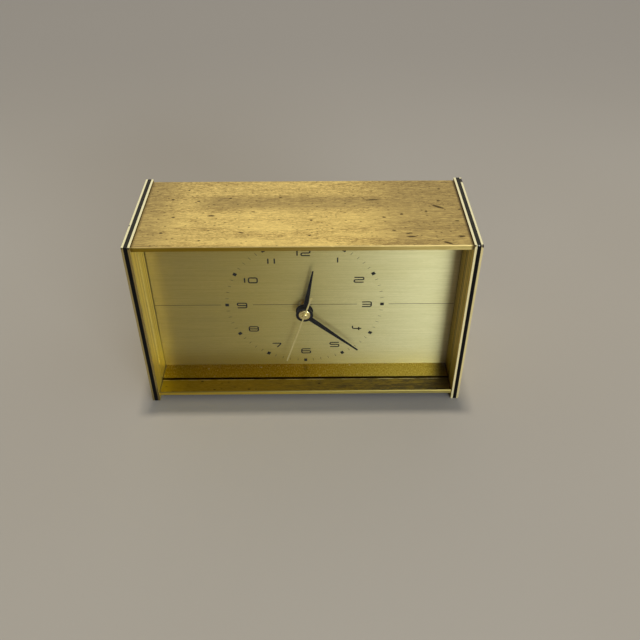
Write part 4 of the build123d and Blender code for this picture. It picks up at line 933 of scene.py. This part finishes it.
def make_cell_marks():
    low, high = (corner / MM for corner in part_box("cell"))
    above = high.z + CELL_SIGN_RISE
    mesh = bmesh.new()
    add_sign(mesh, Vector((low.x + CELL_SIGN_INSET, above)), True)
    add_sign(mesh, Vector((high.x - CELL_SIGN_INSET, above)), False)
    finish_piece("cell_marks", mesh, gold, "case")


make_numbers()
make_cross_line()
make_minute_ticks()
make_regulator_marks()
make_turning_arrow()
make_cell_marks()


# Floor, with its half width in metres
FLOOR_HALF = 4.0


def make_floor():
    half = FLOOR_HALF
    mesh = bmesh.new()
    corners = [(-half, -half, 0), (half, -half, 0), (half, half, 0), (-half, half, 0)]
    mesh.faces.new([mesh.verts.new(c) for c in corners])
    data = bpy.data.meshes.new("floor")
    mesh.to_mesh(data)
    mesh.free()
    f = Finish("pale_table", Roughness=0.65, Specular_IOR_Level=0.10)
    _, y, _ = f.axes()
    soft = f.noise((350, 350, 350), 2.0)
    grain = f.noise((1.2, 1.2, 1.2), 2.0)
    tint = f.mix(f.step(soft, 0.3, 0.7), (0.297, 0.271, 0.223), (0.312, 0.288, 0.241))
    # Painted shade: the floor darkens from 50 mm to 600 mm behind the clock
    tint = f.mix(f.step(y, 50, 600), tint, (0.250, 0.231, 0.198))
    f.set("Base Color", f.mix(f.times(grain, 0.06), tint, (0.26, 0.24, 0.21)))
    data.materials.append(f.material)
    floor = add_object("floor", data)


# The room: bright behind, dim overhead, in front dark on the left and bright on the right
ROOM_BEHIND = (0.86, 0.845, 0.82)
ROOM_OVERHEAD = (0.20, 0.195, 0.19)
ROOM_LEFT = (0.115, 0.088, 0.040)
ROOM_RIGHT = (0.95, 1.06, 1.30)


def make_world():
    world = bpy.data.worlds.new("studio")
    world.use_nodes = True
    room = Nodes(world.node_tree)
    x, y, z = room.split(room.node("ShaderNodeTexCoord").outputs["Generated"])
    front = room.mix(room.step(x, -0.17, 0.33), ROOM_LEFT, ROOM_RIGHT)
    level = room.mix(room.step(y, 0.25, -0.35), ROOM_BEHIND, front)
    level = room.mix(room.step(z, 0.62, 0.92), level, ROOM_OVERHEAD)
    sky = room.tree.nodes["Background"]
    room.feed(sky.inputs["Color"], level)
    sky.inputs["Strength"].default_value = 1.0
    bpy.context.scene.world = world


# Soft lamps, a small one overhead and a wide window to the front right: place, size, power and tint
LAMP_TARGET = (0.0, 0.0, 0.05)
LAMPS = {
    "ceiling": ((0.0, 0.266, 3.0), (0.24, 0.125), 52.5, (1.0, 0.94, 0.85)),
    "window": ((1.28, -2.70, 0.67), (1.8, 1.1), 87, (0.76, 0.84, 1.0)),
}


def make_lamp(name, place, size, power, tint):
    data = bpy.data.lights.new(name, "AREA")
    data.shape = "RECTANGLE"
    data.size, data.size_y = size
    data.energy = power
    data.color = tint
    lamp = add_object(name, data)
    lamp.location = place
    lamp.rotation_euler = (Vector(LAMP_TARGET) - Vector(place)).to_track_quat("-Z", "Y").to_euler()


make_floor()
make_world()
for lamp_name, settings in LAMPS.items():
    make_lamp(lamp_name, *settings)
